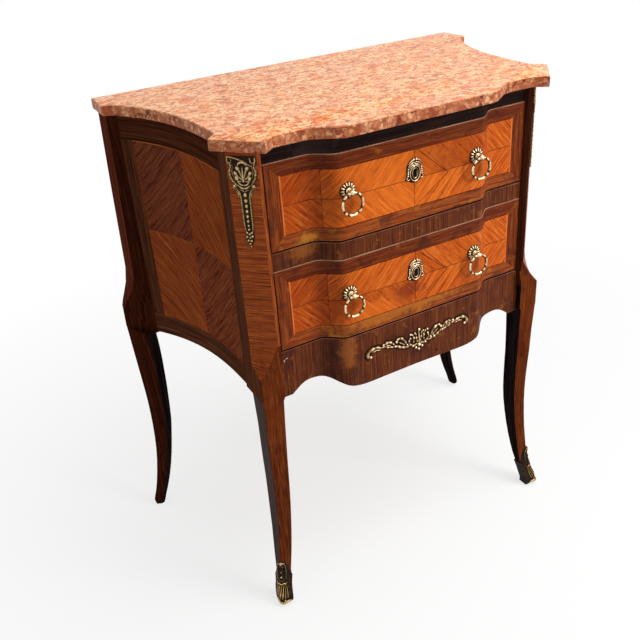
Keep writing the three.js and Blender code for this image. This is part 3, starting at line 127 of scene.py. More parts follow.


# %% [markdown]
# Veneer is wood sawn or sliced to a millimetre or less, glued down and French polished. What the
# eye sees is its grain: fibres a few tenths of a millimetre wide that run far along the log,
# wider bands of growth, dark pores, and the shellac's soft gloss on top. Noise stretched along
# one direction gives all of these. The direction comes either from a map laid on each leaf,
# where leaves are cut at angles, or from the object's own axes on solid wood. The fibres are
# drawn about three times too wide, because finer ones vanish at this image size. Patches are
# clouds of another tone, and zones are ragged spots at a given place: some tone the wood where
# hands and sun were, and others are painted shade in a hollow of the front, painted shadow round
# the mounts, and a painted sheen on the frieze.

# %% Polished veneer
def veneer(name, stops, streak=1.5, reach=60, axis=None, pore=0.5, patches=(), gloss=0.3,
           relief=0.12, shine=0.06, tone=("#8C5A48", "#FFFFFF", "#FFFFFF"), zones=()):
    material, tree = new_material(name)
    where = node(tree, "TexCoord").outputs["Object"]
    if axis is None:
        place = node(tree, "UVMap", uv_map="grain")
        leaf = node(tree, "Attribute", attribute_name="leaf")
        seed = node(tree, "VectorMath", {0: leaf, 1: (0, 0, 90)}, operation="MULTIPLY")
        spread = (1 / (reach * MM), 1 / (streak * MM), 1)
    else:
        place, seed = where, (3.1, 1.7, 5.3)
        spread = tuple(1 / ((reach if i == axis else streak) * MM) for i in range(3))
    grain = node(tree, "VectorMath", {0: place, 1: spread, 2: seed}, operation="MULTIPLY_ADD")
    fibre = node(tree, "TexNoise", {"Vector": grain, "Scale": 1, "Detail": 5, "Roughness": 0.62,
                                    "Distortion": 0.15})
    band = node(tree, "TexNoise", {"Vector": grain, "Scale": 0.33, "Detail": 2})
    mixed = node(tree, "Mix", {"Factor": 0.36, "A": fibre, "B": band}, data_type="FLOAT")
    mixed = node(tree, "MapRange", {"Value": mixed, "From Min": 0.24, "From Max": 0.76})
    colour = node(tree, "ValToRGB", {"Fac": mixed}, stops=stops)
    vessel = node(tree, "TexNoise", {"Vector": grain, "Scale": 1.9, "Detail": 1})
    vessel = node(tree, "MapRange", {"Value": vessel, "From Min": 0.3, "From Max": 0.4,
                                     "To Min": pore, "To Max": 0.0})
    colour = node(tree, "Mix", {"Factor": vessel, "A": colour, "B": linear(stops[0][1])},
                  data_type="RGBA")
    for tint, size, edge, amount in patches:
        colour = stain(tree, colour, tint, edge, edge + 0.12, amount, {
            "Vector": where, "Scale": 1 / (size * MM), "Detail": 3, "Distortion": 0.4})
    if axis is None:
        shade = node(tree, "ValToRGB", {"Fac": node(tree, "SeparateColor", {"Color": leaf})},
                     stops=[(0.0, tone[0]), (1.0, tone[2]), (0.5, tone[1])])
        colour = node(tree, "Mix", {"Factor": 1.0, "A": colour, "B": shade}, data_type="RGBA",
                      blend_type="MULTIPLY")
    if zones:
        ragged = node(tree, "TexNoise", {"Vector": where, "Scale": 1 / (9 * MM), "Detail": 4})
        ragged = node(tree, "MapRange", {"Value": ragged, "From Min": 0.25, "From Max": 0.75,
                                         "To Min": -0.5, "To Max": 0.5})
    for (x, z), (wide, tall), tint, amount, blend in zones:
        share = node(tree, "VectorMath", {0: where, 1: (1 / (wide * MM), 0, 1 / (tall * MM)),
                                          2: (-x / wide, 0, -z / tall)}, operation="MULTIPLY_ADD")
        share = node(tree, "VectorMath", {0: share}, operation="LENGTH")
        share = node(tree, "Math", {0: share, 1: ragged}, operation="ADD")
        share = node(tree, "MapRange", {"Value": share, "From Min": 1.3, "From Max": 0.4,
                                        "To Max": amount}, interpolation_type="SMOOTHSTEP")
        colour = node(tree, "Mix", {"Factor": share, "A": colour, "B": linear(tint)},
                      data_type="RGBA", blend_type=blend)
    rough = node(tree, "MapRange", {"Value": fibre, "To Min": gloss - 0.07, "To Max": gloss + 0.12})
    bump = node(tree, "Bump", {"Height": fibre, "Strength": relief, "Distance": 0.3 * MM})
    skin = node(tree, "BsdfPrincipled", {"Base Color": colour, "Roughness": rough, "Normal": bump,
                                         "IOR": 1.5, "Specular IOR Level": shine})
    node(tree, "OutputMaterial", {"Surface": skin})
    return material


# Round every ring and escutcheon the wood is darkened: grime from hands, and painted shadow of the
# mount on the wood.
LEVELS = ("upper", "lower")
pull_grime_and_shadow = []
for level_name in LEVELS:
    for mount_name, reach in (("ring_left", 25), ("ring_right", 25), ("escutcheon", 19)):
        middle = sum(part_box(f"{level_name}_{mount_name}"), Vector()) / 2 / MM
        pull_grime_and_shadow.append(((middle.x, middle.z), (reach, reach + 4), "#7A3410", 0.38, "MIX"))
EVERY = 1e6
# SHADE darkens a band at the left hollow of the front on every wood there: painted shade where the
# curve turns from the light.
SHADE = "#9A9AB8"
tulipwood = veneer("tulipwood_French_polished", [
    (0.22, "#7A2808"), (0.4, "#C25615"), (0.56, "#D86A1C"), (0.76, "#EC883A")],
    streak=1.15, reach=30, pore=0.7, patches=[("#8E3A10", 55, 0.6, 0.4)], gloss=0.34,
    tone=("#9A5A44", "#EEE6DA", "#FFFFFF"), zones=[
        ((-150, 0), (29, EVERY), SHADE, 0.46, "MULTIPLY"),
        ((62, 742), (26, 22), "#7A2E0C", 0.45, "MIX"),
        ((-30, 720), (110, 90), "#F07E22", 0.28, "MIX"),
        ((-16, 544), (30, 17), "#6E2410", 0.7, "MIX"),
        ((-83, 528), (60, 24), "#F07A22", 0.35, "MIX")] + pull_grime_and_shadow)
banding = veneer("kingwood_crossbanding_polished", [
    (0.24, "#501F0E"), (0.4, "#763112"), (0.55, "#8E4218"), (0.74, "#A65C26")],
    streak=1.1, reach=30, pore=0.6, gloss=0.36,
    patches=[("#B8781E", 26, 0.62, 0.6), ("#43201A", 30, 0.56, 0.6)], zones=[
        ((-150, 0), (29, EVERY), SHADE, 0.42, "MULTIPLY"),
        ((-172, 671), (18, 9), "#BE7C28", 0.6, "MIX"),
        ((-142, 497), (14, 8), "#B07820", 0.5, "MIX"),
        ((-39, 518), (120, 14), "#BC7024", 0.5, "MIX")])
glue_line = veneer("glue_line_dark", [(0.3, "#2E0E06"), (0.5, "#481A0A"), (0.7, "#5E260E")],
                   streak=1, reach=30, pore=0.2, shine=0.02)
stringing = veneer("boxwood_stringing", [(0.3, "#B04818"), (0.5, "#D8682A"), (0.7, "#EE8C48")],
                   streak=1, reach=30, pore=0.2)
bare_chip = veneer("bare_wood_chip", [(0.3, "#A89888"), (0.5, "#C8BCB0"), (0.7, "#DAD0C8")],
                   axis=2, streak=0.8, reach=10, pore=0.2)
# shadow is the near-black strip at the bottom and left end of each drawer front: painted shadow in
# the gap.
shadow = veneer("painted_gap_shadow", [(0.3, "#0A0706"), (0.5, "#120B09"), (0.7, "#1C120E")],
                streak=1, reach=40, pore=0.2, gloss=0.6, shine=0.0)
# The pale top edge is partly bare wood worn through and partly a painted highlight on the arris.
worn_edge_highlight = veneer("worn_edge_painted_highlight", [(0.3, "#7A4E3C"), (0.5, "#A07460"), (0.7, "#C49E86")],
                   streak=0.8, reach=20, pore=0.2, gloss=0.5)
purplewood = veneer("purplewood_cross_grain", [
    (0.22, "#32130C"), (0.42, "#502210"), (0.58, "#663013"), (0.78, "#824822")],
    streak=1.1, reach=44, gloss=0.4,
    patches=[("#90541C", 18, 0.6, 0.7), ("#3A1A16", 40, 0.5, 0.5)], zones=[
        ((-158, 0), (22, EVERY), SHADE, 0.6, "MULTIPLY"),
        ((-128, 470), (15, 34), "#A8602A", 0.45, "MIX"),
        ((-185, 656), (22, 16), "#9A5A22", 0.5, "MIX")])
# The grey patch at the frieze's left hollow is a painted sheen.
stained = veneer("stained_fruitwood_frieze", [
    (0.3, "#120909"), (0.5, "#1E1210"), (0.7, "#2E1D16")], streak=2, reach=70, pore=0.4,
    gloss=0.5, shine=0.02, zones=[((-160, 0), (26, EVERY), "#453A36", 0.27, "MIX")])
print("veneers:", [m.name for m in (tulipwood, banding, stringing, purplewood, stained)])

# %% [markdown]
# The corner posts, legs and sides are the same family of woods, darker and redder, and the
# carcass inside is oak, planed and left raw: no polish, open pores, and a drier look.

# %% Post, side and carcass woods
post_wood = veneer("kingwood_post_polished", [
    (0.24, "#461C0C"), (0.4, "#783316"), (0.56, "#94461B"), (0.74, "#B2602A")],
    streak=0.95, reach=36, pore=0.7, patches=[("#6A2C14", 60, 0.55, 0.4)], gloss=0.36, shine=0.04)
leg_wood = veneer("kingwood_leg_polished", [
    (0.26, "#3A180C"), (0.43, "#502310"), (0.58, "#622E15"), (0.74, "#7A4220")],
    streak=1.6, reach=34, patches=[("#3A140E", 50, 0.55, 0.6)], gloss=0.38, shine=0.0,
    zones=[((0, 400), (EVERY, 90), "#A04A1C", 0.1, "MIX")])
# The lower side faces of the front legs are painted dark: painted shade.
flank_shade_wood = veneer("painted_shade_leg_flank", [(0.3, "#221513"), (0.5, "#33231F"), (0.7, "#44302A")],
                    streak=2.2, reach=90, pore=0.3, gloss=0.45, shine=0.02)
red_edge = veneer("kingwood_rear_edge", [(0.3, "#381810"), (0.5, "#522418"), (0.7, "#6A3424")],
                  streak=1.6, reach=70, pore=0.3, gloss=0.5, shine=0.0)
# Faces that look inward or down are painted almost black: painted shade.
shadow_wood = veneer("painted_shade_inner_faces", [
    (0.3, "#0C0809"), (0.5, "#161011"), (0.7, "#231A1A")],
    streak=2.2, reach=90, pore=0.3, gloss=0.5, shine=0.0)
side_frame = veneer("dark_side_banding", [
    (0.26, "#301A11"), (0.43, "#4A291B"), (0.6, "#5B3523"), (0.76, "#6E462D")],
    streak=1.6, reach=70, pore=0.6, gloss=0.5, shine=0.0)
side_field = veneer("bois_satine_side_leaves", [
    (0.25, "#40160D"), (0.42, "#7A3820"), (0.58, "#864222"), (0.75, "#9A562E")],
    streak=1.1, reach=30, pore=0.6, gloss=0.45, shine=0.0, relief=0.2,
    tone=("#D0DCFF", "#FFFFFF", "#FFFFE4"))
side_string = veneer("fruitwood_side_string", [
    (0.3, "#74401E"), (0.5, "#925026"), (0.7, "#AE6A34")], streak=1, reach=30, pore=0.3, shine=0.0)
oak_x, oak_y, oak_z = (veneer("oak_raw_planed_" + "xyz"[i], [
    (0.24, "#8A5E3A"), (0.42, "#A87A52"), (0.58, "#BA8E64"), (0.76, "#CCA67E")],
    streak=1.8, reach=70, axis=i, pore=0.7, gloss=0.62, relief=0.3) for i in range(3))
print("woods:", [m.name for m in (post_wood, leg_wood, shadow_wood, side_frame, side_field)])

# %% [markdown]
# The top is a brecciated marble: rounded lumps of pale peach stone healed with red-brown
# matter, sawn, and polished on its face. Cells of a Voronoi pattern bent by noise give lumps
# 6 to 10 mm across, as they show on the sawn edge. On the face the polish bleaches them, and
# what remains are short red veins that run mostly one way.

# %% Polished breccia marble
def lumps(tree, where, size, twist, reach, **wobble):
    """Cells of a size in mm, bent by a noise: the bent place, each cell's tint, and its seam."""
    bend = node(tree, "TexNoise", {"Vector": where, "Scale": 1 / (twist * MM), **wobble})
    push = node(tree, "VectorMath", {0: bend.outputs["Color"], 1: (-0.5, -0.5, -0.5)})
    bent = node(tree, "VectorMath", {0: push, 1: (reach * MM, reach * MM, reach * MM), 2: where},
                operation="MULTIPLY_ADD")
    cells = {"Vector": bent, "Scale": 1 / (size * MM)}
    tint = node(tree, "SeparateColor", {"Color": node(tree, "TexVoronoi", cells).outputs["Color"]})
    return bent, tint, node(tree, "TexVoronoi", cells, feature="DISTANCE_TO_EDGE")


def breccia(name):
    material, tree = new_material(name)
    where = node(tree, "TexCoord").outputs["Object"]
    _, tint, seam = lumps(tree, where, 8, 14, 22, Detail=6, Roughness=0.72)
    edge = node(tree, "ValToRGB", {"Fac": tint}, stops=[
        (0.0, "#9E4E30"), (1.0, "#E8AC82"), (0.3, "#BC6C44"), (0.7, "#CC8860")])
    near = node(tree, "MapRange", {"Value": seam, "From Max": 0.18, "To Min": 0.6, "To Max": 0.0})
    edge = node(tree, "Mix", {"Factor": near, "A": edge, "B": linear("#64281A")}, data_type="RGBA")
    edge = stain(tree, edge, "#7C4028", 0.54, 0.64, 0.6, {
        "Vector": where, "Scale": 1 / (4 * MM), "Detail": 5, "Roughness": 0.65, "Distortion": 0.8})
    edge = stain(tree, edge, "#6E2A20", 0.57, 0.63, 0.9, {
        "Vector": where, "Scale": 1 / (26 * MM), "Detail": 4, "Distortion": 1.2})
    bent, tint, seam = lumps(tree, where, 13, 12, 14, Detail=2)
    face = node(tree, "ValToRGB", {"Fac": tint}, stops=[
        (0.0, "#EE8E50"), (1.0, "#FFCE9A"), (0.14, "#FCB076"), (0.5, "#FFC08A")])
    face = stain(tree, face, "#F8BCA2", 0.52, 0.68, 0.4, {
        "Vector": where, "Scale": 1 / (60 * MM), "Detail": 3})
    shown = node(tree, "TexNoise", {"Vector": where, "Scale": 1 / (11 * MM), "Detail": 3})
    shown = node(tree, "MapRange", {"Value": shown, "From Min": 0.42, "From Max": 0.52,
                                    "To Max": 0.8})
    vein = node(tree, "MapRange", {"Value": seam, "From Max": 0.1, "To Min": 1.0, "To Max": 0.0})
    vein = node(tree, "Math", {0: vein, 1: shown}, operation="MULTIPLY")
    face = node(tree, "Mix", {"Factor": vein, "A": face, "B": linear("#A8522E")}, data_type="RGBA")
    drawn = node(tree, "VectorMath", {0: bent, 1: (1 / (16 * MM), 1 / (9 * MM), 1)},
                 operation="MULTIPLY")
    for tint, scale, low, high, amount in (("#DA7046", 1.0, 0.535, 0.57, 0.9),
                                           ("#A85838", 1.7, 0.57, 0.61, 0.85),
                                           ("#FFE6D6", 1.3, 0.62, 0.67, 0.6)):
        face = stain(tree, face, tint, low, high, amount, {
            "Vector": drawn, "Scale": scale, "Detail": 4, "Roughness": 0.6, "Distortion": 0.9})
    facing = node(tree, "SeparateXYZ", {0: node(tree, "NewGeometry").outputs["Normal"]})
    facing = node(tree, "MapRange", {"Value": facing.outputs["Z"], "From Min": 0.55,
                                     "From Max": 0.9})
    colour = node(tree, "Mix", {"Factor": facing, "A": edge, "B": face}, data_type="RGBA")
    rough = node(tree, "MapRange", {"Value": facing, "To Min": 0.42, "To Max": 0.28})
    bump = node(tree, "Bump", {"Height": near, "Strength": 0.04, "Distance": 0.3 * MM})
    skin = node(tree, "BsdfPrincipled", {"Base Color": colour, "Roughness": rough, "IOR": 1.5,
                                         "Specular IOR Level": 0.07, "Normal": bump})
    node(tree, "OutputMaterial", {"Surface": skin})
    return material


marble = breccia("breccia_marble_polished")

# %% [markdown]
# The mounts are cast bronze, chased and gilt with mercury, and two centuries have worn the gold
# off what stands proud and left dirt in the hollows. Each mount's mesh carries how high every
# point stands in its relief, so one metal can be bright on the ridges and nearly black below.

# %% Gilt bronze and lock metals
def cast_metal(name, hollow, middle, crest, rough=(0.55, 0.26), from_relief=True, underside_shade=0.0):
    material, tree = new_material(name)
    where = node(tree, "TexCoord").outputs["Object"]
    grime = node(tree, "TexNoise", {"Vector": where, "Scale": 1 / (2.4 * MM), "Detail": 4})
    height = grime
    if from_relief:
        height = node(tree, "Attribute", attribute_name="relief")
        height = node(tree, "SeparateColor", {"Color": height})
    uneven = node(tree, "MapRange", {"Value": grime, "To Min": -0.45, "To Max": 0.45})
    # Faces that look up are pushed towards bright gold and faces that look down towards the dark:
    # painted light from above and painted shade below.
    facing = node(tree, "SeparateXYZ", {0: node(tree, "NewGeometry").outputs["Normal"]})
    painted_top_light = node(tree, "MapRange", {"Value": facing.outputs["Z"], "From Min": -0.8,
                                     "From Max": 0.8, "To Min": -underside_shade, "To Max": 0.12})
    gold = node(tree, "Math", {0: height, 1: uneven}, operation="ADD")
    gold = node(tree, "Math", {0: gold, 1: painted_top_light}, operation="ADD", use_clamp=True)
    bare = node(tree, "MapRange", {"Value": gold, "From Min": 0.1, "From Max": 0.5})
    colour = node(tree, "ValToRGB", {"Fac": gold}, stops=[
        (0.12, hollow), (0.8, crest), (0.42, middle)])
    dull = node(tree, "MapRange", {"Value": gold, "To Min": rough[0], "To Max": rough[1]})
    bump = node(tree, "Bump", {"Height": grime, "Strength": 0.25, "Distance": 0.25 * MM})
    skin = node(tree, "BsdfPrincipled", {"Base Color": colour, "Metallic": bare,
                                         "Roughness": dull, "Normal": bump,
                                         "Specular IOR Level": 0.08})
    node(tree, "OutputMaterial", {"Surface": skin})
    return material


gilt = cast_metal("gilt_bronze_worn", "#1A0B04", "#7A5630", "#ECD0A8", (0.6, 0.34), underside_shade=0.4)
olive_gilt = cast_metal("gilt_bronze_dulled", "#170B04", "#66502E", "#B69C70", (0.62, 0.4),
                        underside_shade=0.3)
foot_bronze = cast_metal("bronze_sabot_brown", "#0B0705", "#3C2A1A", "#B89A62", (0.6, 0.36),
                         underside_shade=0.3)
# A near-black metal for the keyhole and the nail hole: painted shade in the holes.
hole_shade = cast_metal("painted_shade_in_holes", "#050403", "#070504", "#0A0806", (0.9, 0.9))
lock_brass = cast_metal("lock_brass_dull", "#6E5A2E", "#9C8244", "#C0A662", (0.6, 0.4), False)
lock_steel = cast_metal("lock_steel_filed", "#3C3B3A", "#6A6967", "#8C8B88", (0.55, 0.35), False)

# %% [markdown]
# Marquetry is a skin of leaves, each cut from a sheet of veneer with its grain turned its own
# way, and laid edge to edge on a shaped core. The same is done here: a leaf is an outline on
# the flattened surface, cut into narrow strips so that it can bend, wrapped on to the curve and
# given the thickness of a sheet. Each leaf carries its grain direction as a map, and its own
# tone and seed as a colour, so that no two look sawn from the same spot.

# %% Leaves of veneer on a curved core
SHEET = 0.6
SLIVER = 0.01


def strips(outline, cuts):
    """The outline cut by upright lines, so that each strip is narrow enough to lie on a curve."""
    low, high = min(u for u, _ in outline), max(u for u, _ in outline)
    cuts = [low] + [u for u in cuts if low + SLIVER < u < high - SLIVER] + [high]
    for left, right in zip(cuts, cuts[1:]):
        strip = outline
        for limit, sign in ((left, 1), (right, -1)):
            kept = []
            for (u0, v0), (u1, v1) in zip(strip, strip[1:] + strip[:1]):
                inside0, inside1 = sign * (u0 - limit) >= 0, sign * (u1 - limit) >= 0
                if inside0:
                    kept.append((u0, v0))
                if inside0 != inside1:
                    kept.append((limit, v0 + (v1 - v0) * ((limit - u0) / (u1 - u0))))
            strip = kept
            if len(strip) < 3:
                break
        if len(strip) >= 3:
            yield strip


def hang(name, bm, finishes, body, sharp=None):
    """Makes a piece of a finished mesh, gives it its materials and lets it ride on its body."""
    mesh = bpy.data.meshes.new(name)
    bm.to_mesh(mesh)
    bm.free()
    if sharp:
        mesh.set_sharp_from_angle(angle=math.radians(sharp))
    for finish in finishes:
        mesh.materials.append(finish)
    piece = bpy.data.objects.new(name, mesh)
    scene.collection.objects.link(piece)
    print(name, "faces:", len(mesh.polygons))
    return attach(piece, body)


def lay_leaves(name, leaves, wrap, cuts, body, sheet=SHEET):
    bm = bmesh.new()
    grain = bm.loops.layers.uv.new("grain")
    tone = bm.loops.layers.float_color.new("leaf")
    finishes = []
    for number, (outline, angle, shade, material) in enumerate(leaves):
        if material not in finishes:
            finishes.append(material)
        turn = math.radians(angle)
        seed = (number * 0.377 + 0.11) % 1
        corners, where = {}, {}

        def corner(u, v, lift):
            if (u, v, lift) not in corners:
                corners[u, v, lift] = bm.verts.new(wrap(u, v, lift))
                where[corners[u, v, lift]] = (u, v)
            return corners[u, v, lift]

        rims, made = {}, []
        for strip in strips(outline, cuts):
            ring = []
            for u, v in strip:
                if not ring or (round(u, 3), round(v, 3)) != ring[-1]:
                    ring.append((round(u, 3), round(v, 3)))
            if ring[0] == ring[-1]:
                ring.pop()
            if len(ring) < 3:
                continue
            made.append(bm.faces.new([corner(u, v, 0.0) for u, v in ring]))
            made.append(bm.faces.new([corner(u, v, -sheet) for u, v in reversed(ring)]))
            for a, b in zip(ring, ring[1:] + ring[:1]):
                if not rims.pop((b, a), False):
                    rims[a, b] = True
        for a, b in rims:
            made.append(bm.faces.new([corner(*b, 0.0), corner(*a, 0.0), corner(*a, -sheet),
                                      corner(*b, -sheet)]))
        for face in made:
            face.material_index = finishes.index(material)
            face.smooth = True
            for loop in face.loops:
                u, v = where[loop.vert]
                loop[grain].uv = ((u * math.cos(turn) + v * math.sin(turn)) * MM,
                                  (v * math.cos(turn) - u * math.sin(turn)) * MM)
                loop[tone] = (shade, 0.5, seed, 1.0)
    return hang(name, bm, finishes, body, sharp=40)


# %% [markdown]
# The drawer fronts break forward: flat ends, a double curve, and a flat middle. Their veneer
# follows that line. Heights and widths are read from the solids where they can be, so the
# leaves stay on the drawers if a size changes.

# %% The front's line
drawer_plane = -158.0
centre_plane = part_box("upper_drawer_front")[0].y / MM
OGEE = (125.0, 167.0)
OGEE_CUTS = 20


def front_line(x):
    share = min(max((abs(x) - OGEE[0]) / (OGEE[1] - OGEE[0]), 0.0), 1.0)
    return drawer_plane + (centre_plane - drawer_plane) * (1 + math.cos(math.pi * share)) / 2


ogee_cuts = [OGEE[0] + (OGEE[1] - OGEE[0]) * i / OGEE_CUTS for i in range(OGEE_CUTS + 1)]
front_cuts = sorted([-u for u in ogee_cuts] + [-80, -40, 0, 40, 80] + ogee_cuts)


def on_front(height, lift_off=0.25):
    def wrap(u, v, lift):
        slope = (front_line(u + 0.1) - front_line(u - 0.1)) / 0.2
        out = Vector((slope, -1, 0)).normalized() * (lift + lift_off)
        return Vector((u + out.x, front_line(u) + out.y, height + v)) * MM
    return wrap


print("front planes:", drawer_plane, round(centre_plane, 1))

# %% [markdown]
# A drawer front has a field of tulipwood in leaves that meet at the keyhole, their grain
# running as nested diamonds, a string of pale wood at its ends, and a border of kingwood with
# mitred corners. The field has further joints where the curve begins. The pale line above each
# drawer is partly its top edge worn through to bare wood and partly a painted highlight on that
# arris. A near-black strip along the bottom and the left end of each front is painted shadow,
# the shade in the gap round the drawer.

# %% Drawer fronts
FIELD = (210.0, 45.0)
JOINT = 150
EDGE_LINE = 1.0
STRING = 2.2
GAP = 1.5
CHEVRON = ((6, 43), (62, -4), (2, -44))
FRONT_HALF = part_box("upper_drawer_front")[1].x / MM


def box_outline(u0, u1, v0, v1):
    return [(u0, v0), (u1, v0), (u1, v1), (u0, v1)]


def line_outline(start, end, width):
    along_u, along_v = end[0] - start[0], end[1] - start[1]
    size = math.hypot(along_u, along_v) / width * 2
    du, dv = along_v / size, -along_u / size
    corners = [(start[0] + du, start[1] + dv), (end[0] + du, end[1] + dv),
               (end[0] - du, end[1] - dv), (start[0] - du, start[1] - dv)]
    turning = sum(a[0] * b[1] - b[0] * a[1] for a, b in zip(corners, corners[1:] + corners[:1]))
    return corners if turning > 0 else corners[::-1]


def joint_lines(fu, fv):
    lines = [((-fu, 0), (fu, 0), 0.8), ((0, -fv), (0, fv), 0.7), ((-JOINT, -fv), (-JOINT, fv), 0.5),
             ((JOINT, -fv), (JOINT, fv), 0.5), (*CHEVRON[:2], 0.9), (*CHEVRON[1:], 0.9)]
    return [(line_outline(*line), 0, 0.5, glue_line) for line in lines]


def front_leaves(low, high, tones):
    fu, fv = FIELD
    inner, half, foot, top = fu - STRING, FRONT_HALF - 0.15, low + GAP, high - EDGE_LINE
    end = GAP - half
    joints = [-inner, -JOINT, 0, JOINT, inner]
    leaves = []
    for i, (u0, u1) in enumerate(zip(joints, joints[1:])):
        angle = 46 if i < 2 else -46
        leaves += [(box_outline(u0, u1, 0, fv - 1), angle, tones[i], tulipwood),
                   (box_outline(u0, u1, 1 - fv, 0), -angle, tones[4 + i], tulipwood)]
    return leaves + [
        (box_outline(-fu, -inner, -fv, fv), 90, 0.5, stringing),
        (box_outline(inner, fu, -fv, fv), 90, 0.5, stringing),
        (box_outline(-inner, inner, fv - 1, fv), 0, 0.3, glue_line),
        (box_outline(-inner, inner, -fv, 1 - fv), 0, 0.3, glue_line),
        (box_outline(-half, half, low, foot), 0, 0.5, shadow),
        (box_outline(-half, end, foot, top), 0, 0.5, shadow),
        ([(-fu, fv), (fu, fv), (half, top), (end, top)], 0, 0.22, banding),
        ([(end, foot), (half, foot), (fu, -fv), (-fu, -fv)], 0, 0.6, banding),
        ([(end, foot), (-fu, -fv), (-fu, fv), (end, top)], 90, 0.36, banding),
        ([(fu, -fv), (half, foot), (half, top), (fu, fv)], 90, 0.3, banding),
        (box_outline(-half, half, top, high), 0, 0.5, worn_edge_highlight)]


for level_name, tones in (("upper", [0.25, 0.5, 0.3, 0.5, 0.3, 0.55, 0.6, 0.5]),
                          ("lower", [0.25, 0.5, 0.45, 0.55, 0.3, 0.38, 0.5, 0.55])):
    low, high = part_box(f"{level_name}_drawer_front")
    middle = (low.z + high.z) / 2 / MM
    lay_leaves(f"{level_name}_drawer_marquetry",
               front_leaves(low.z / MM - middle + 0.15, high.z / MM - middle - 0.15, tones),
               on_front(middle), front_cuts, f"{level_name}_drawer")
    lay_leaves(f"{level_name}_drawer_joints", joint_lines(FIELD[0] - STRING, FIELD[1] - 1),
               on_front(middle, 0.29), front_cuts, f"{level_name}_drawer", sheet=0.2)

# %% [markdown]
# Solid pieces keep the shape of their solids, but a real arris is never a knife edge. Each is
# copied, its facets are joined into smooth faces, and a small bevel rounds its edges so that
# they catch the light. A rule looks at which way a face turns and gives it its wood and its
# grain direction, as a maker would choose a sheet for each side.

# %% Dressed copies of the solids
UP, ACROSS, FORWARD = Vector((0, 0, 1)), Vector((1, 0, 0)), Vector((0, -1, 0))


def dress(name, rule, arris=0.5, body="case", relief=0.0):
    bm = bmesh.new()
    bm.from_mesh(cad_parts[name].data)
    bmesh.ops.remove_doubles(bm, verts=bm.verts, dist=0.01 * MM)
    bmesh.ops.dissolve_limit(bm, angle_limit=math.radians(0.4), verts=bm.verts, edges=bm.edges)
    grain = bm.loops.layers.uv.new("grain")
    tone = bm.loops.layers.float_color.new("leaf")
    height = bm.verts.layers.float_color.new("relief")
    for vert in bm.verts:
        vert[height] = (relief, relief, relief, 1.0)
    finishes = []
    for face in bm.faces:
        material, along, shade, seed = rule(face.normal, face.calc_center_median() / MM)
        if material not in finishes:
            finishes.append(material)
        face.material_index = finishes.index(material)
        face.smooth = True
        across = face.normal.cross(along).normalized()
        for loop in face.loops:
            loop[grain].uv = (loop.vert.co.dot(along), loop.vert.co.dot(across))
            loop[tone] = (shade, 0.5, seed, 1.0)
    piece = hang(name + "_dressed", bm, finishes, body, sharp=32)
    if arris:
        bevel = piece.modifiers.new("arris", "BEVEL")
        bevel.width = arris * MM
        bevel.segments = 2
        bevel.limit_method = "ANGLE"
        bevel.angle_limit = math.radians(38)
        bevel.harden_normals = True
    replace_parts(piece, name)


def edged_rule(front, edge):
    def rule(normal, centre):
        if normal.y < -0.25 and abs(normal.z) < 0.5:
            return front, UP, 0.5, 0.31
        if normal.z < -0.5 or centre.y < drawer_plane + 3:
            return edge, ACROSS, 0.4, 0.2
        return oak_x, ACROSS, 0.5, 0.2
    return rule


dress("top_front_rail", lambda normal, centre: (stained, ACROSS, 0.5, 0.6))
dress("drawer_divider", edged_rule(purplewood, purplewood))
dress("apron", edged_rule(purplewood, shadow_wood), arris=0.7)
# A pale line along the top of the divider and the apron: wear, and a painted highlight on the
# arris.
worn_lit_arris = box_outline(1 - FRONT_HALF, FRONT_HALF - 1, -1.5, -0.8)
for name in ("drawer_divider", "apron"):
    lay_leaves(name + "_arris", [(worn_lit_arris, 0, 0.2, worn_edge_highlight)],
               on_front(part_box(name)[1].z / MM, 0.12), front_cuts, "case", sheet=0.3)

# %% [markdown]
# Each front post and leg is one piece: a canted face veneered across, narrowing to a pointed
# tongue at the knee, and a cabriole below it whose faces are veneered lengthways. The faces
# that look inward, and the lower flanks that look sideways, are painted almost black: painted
# shade where they turn from the light. The turn is the angle of a face from the front.

# %% Posts and legs
SIDES = (("left", -1), ("right", 1))
CANT_FOOT, BACK_FOOT, LIP_FOOT, FLANK_TOP, REAR_KNEE = 466.7, 466, 545, 420, 470


def front_leg_rule(side):
    def rule(normal, centre):
        level = Vector((normal.x * side, -normal.y, 0))
        turn = math.degrees(math.atan2(level.x, level.y)) if level.length > 0.3 else 180
        if abs(turn - 45) < 22 and centre.z > CANT_FOOT:
            tip = min(max((530 - centre.z) / 60, 0), 1)
            return post_wood, Vector((normal.y, -normal.x, 0)).normalized(), 0.5 + 0.5 * tip, 0.4
        if turn < -30 and centre.z > BACK_FOOT:
            return side_frame, UP, 0.25, 0.8
        if turn < -30 or turn > 120:
            return shadow_wood, UP, 0.5, 0.8
        # The narrow return beside the drawers is dark on the right post and light on the left:
        # painted shade on the right one.
        if turn < 25 and centre.z > LIP_FOOT:
            return (side_frame, UP, 0.1, 0.5) if side > 0 else (post_wood, UP, 0.5, 0.2)
        if turn < 25 or abs(turn - 45) < 22:
            return leg_wood, UP, 0.5, 0.2 + 0.3 * (side > 0)
        return (side_frame if centre.z > FLANK_TOP else flank_shade_wood), UP, 0.5, 0.7
    return rule


def rear_leg_rule(side):
    def rule(normal, centre):
        turn = math.degrees(math.atan2(normal.x * side, -normal.y))
        if centre.z > REAR_KNEE and 60 < turn < 140:
            return red_edge, UP, 0.5, 0.15
        if -20 < turn < 140 and not (turn < 20 and centre.z < FLANK_TOP):
            return side_frame, UP, 0.1, 0.15
        return shadow_wood, UP, 0.4, 0.45
    return rule


for side_name, side in SIDES:
    dress(f"front_leg_{side_name}", front_leg_rule(side), arris=0.8)
    dress(f"rear_leg_{side_name}", rear_leg_rule(side), arris=0.8)

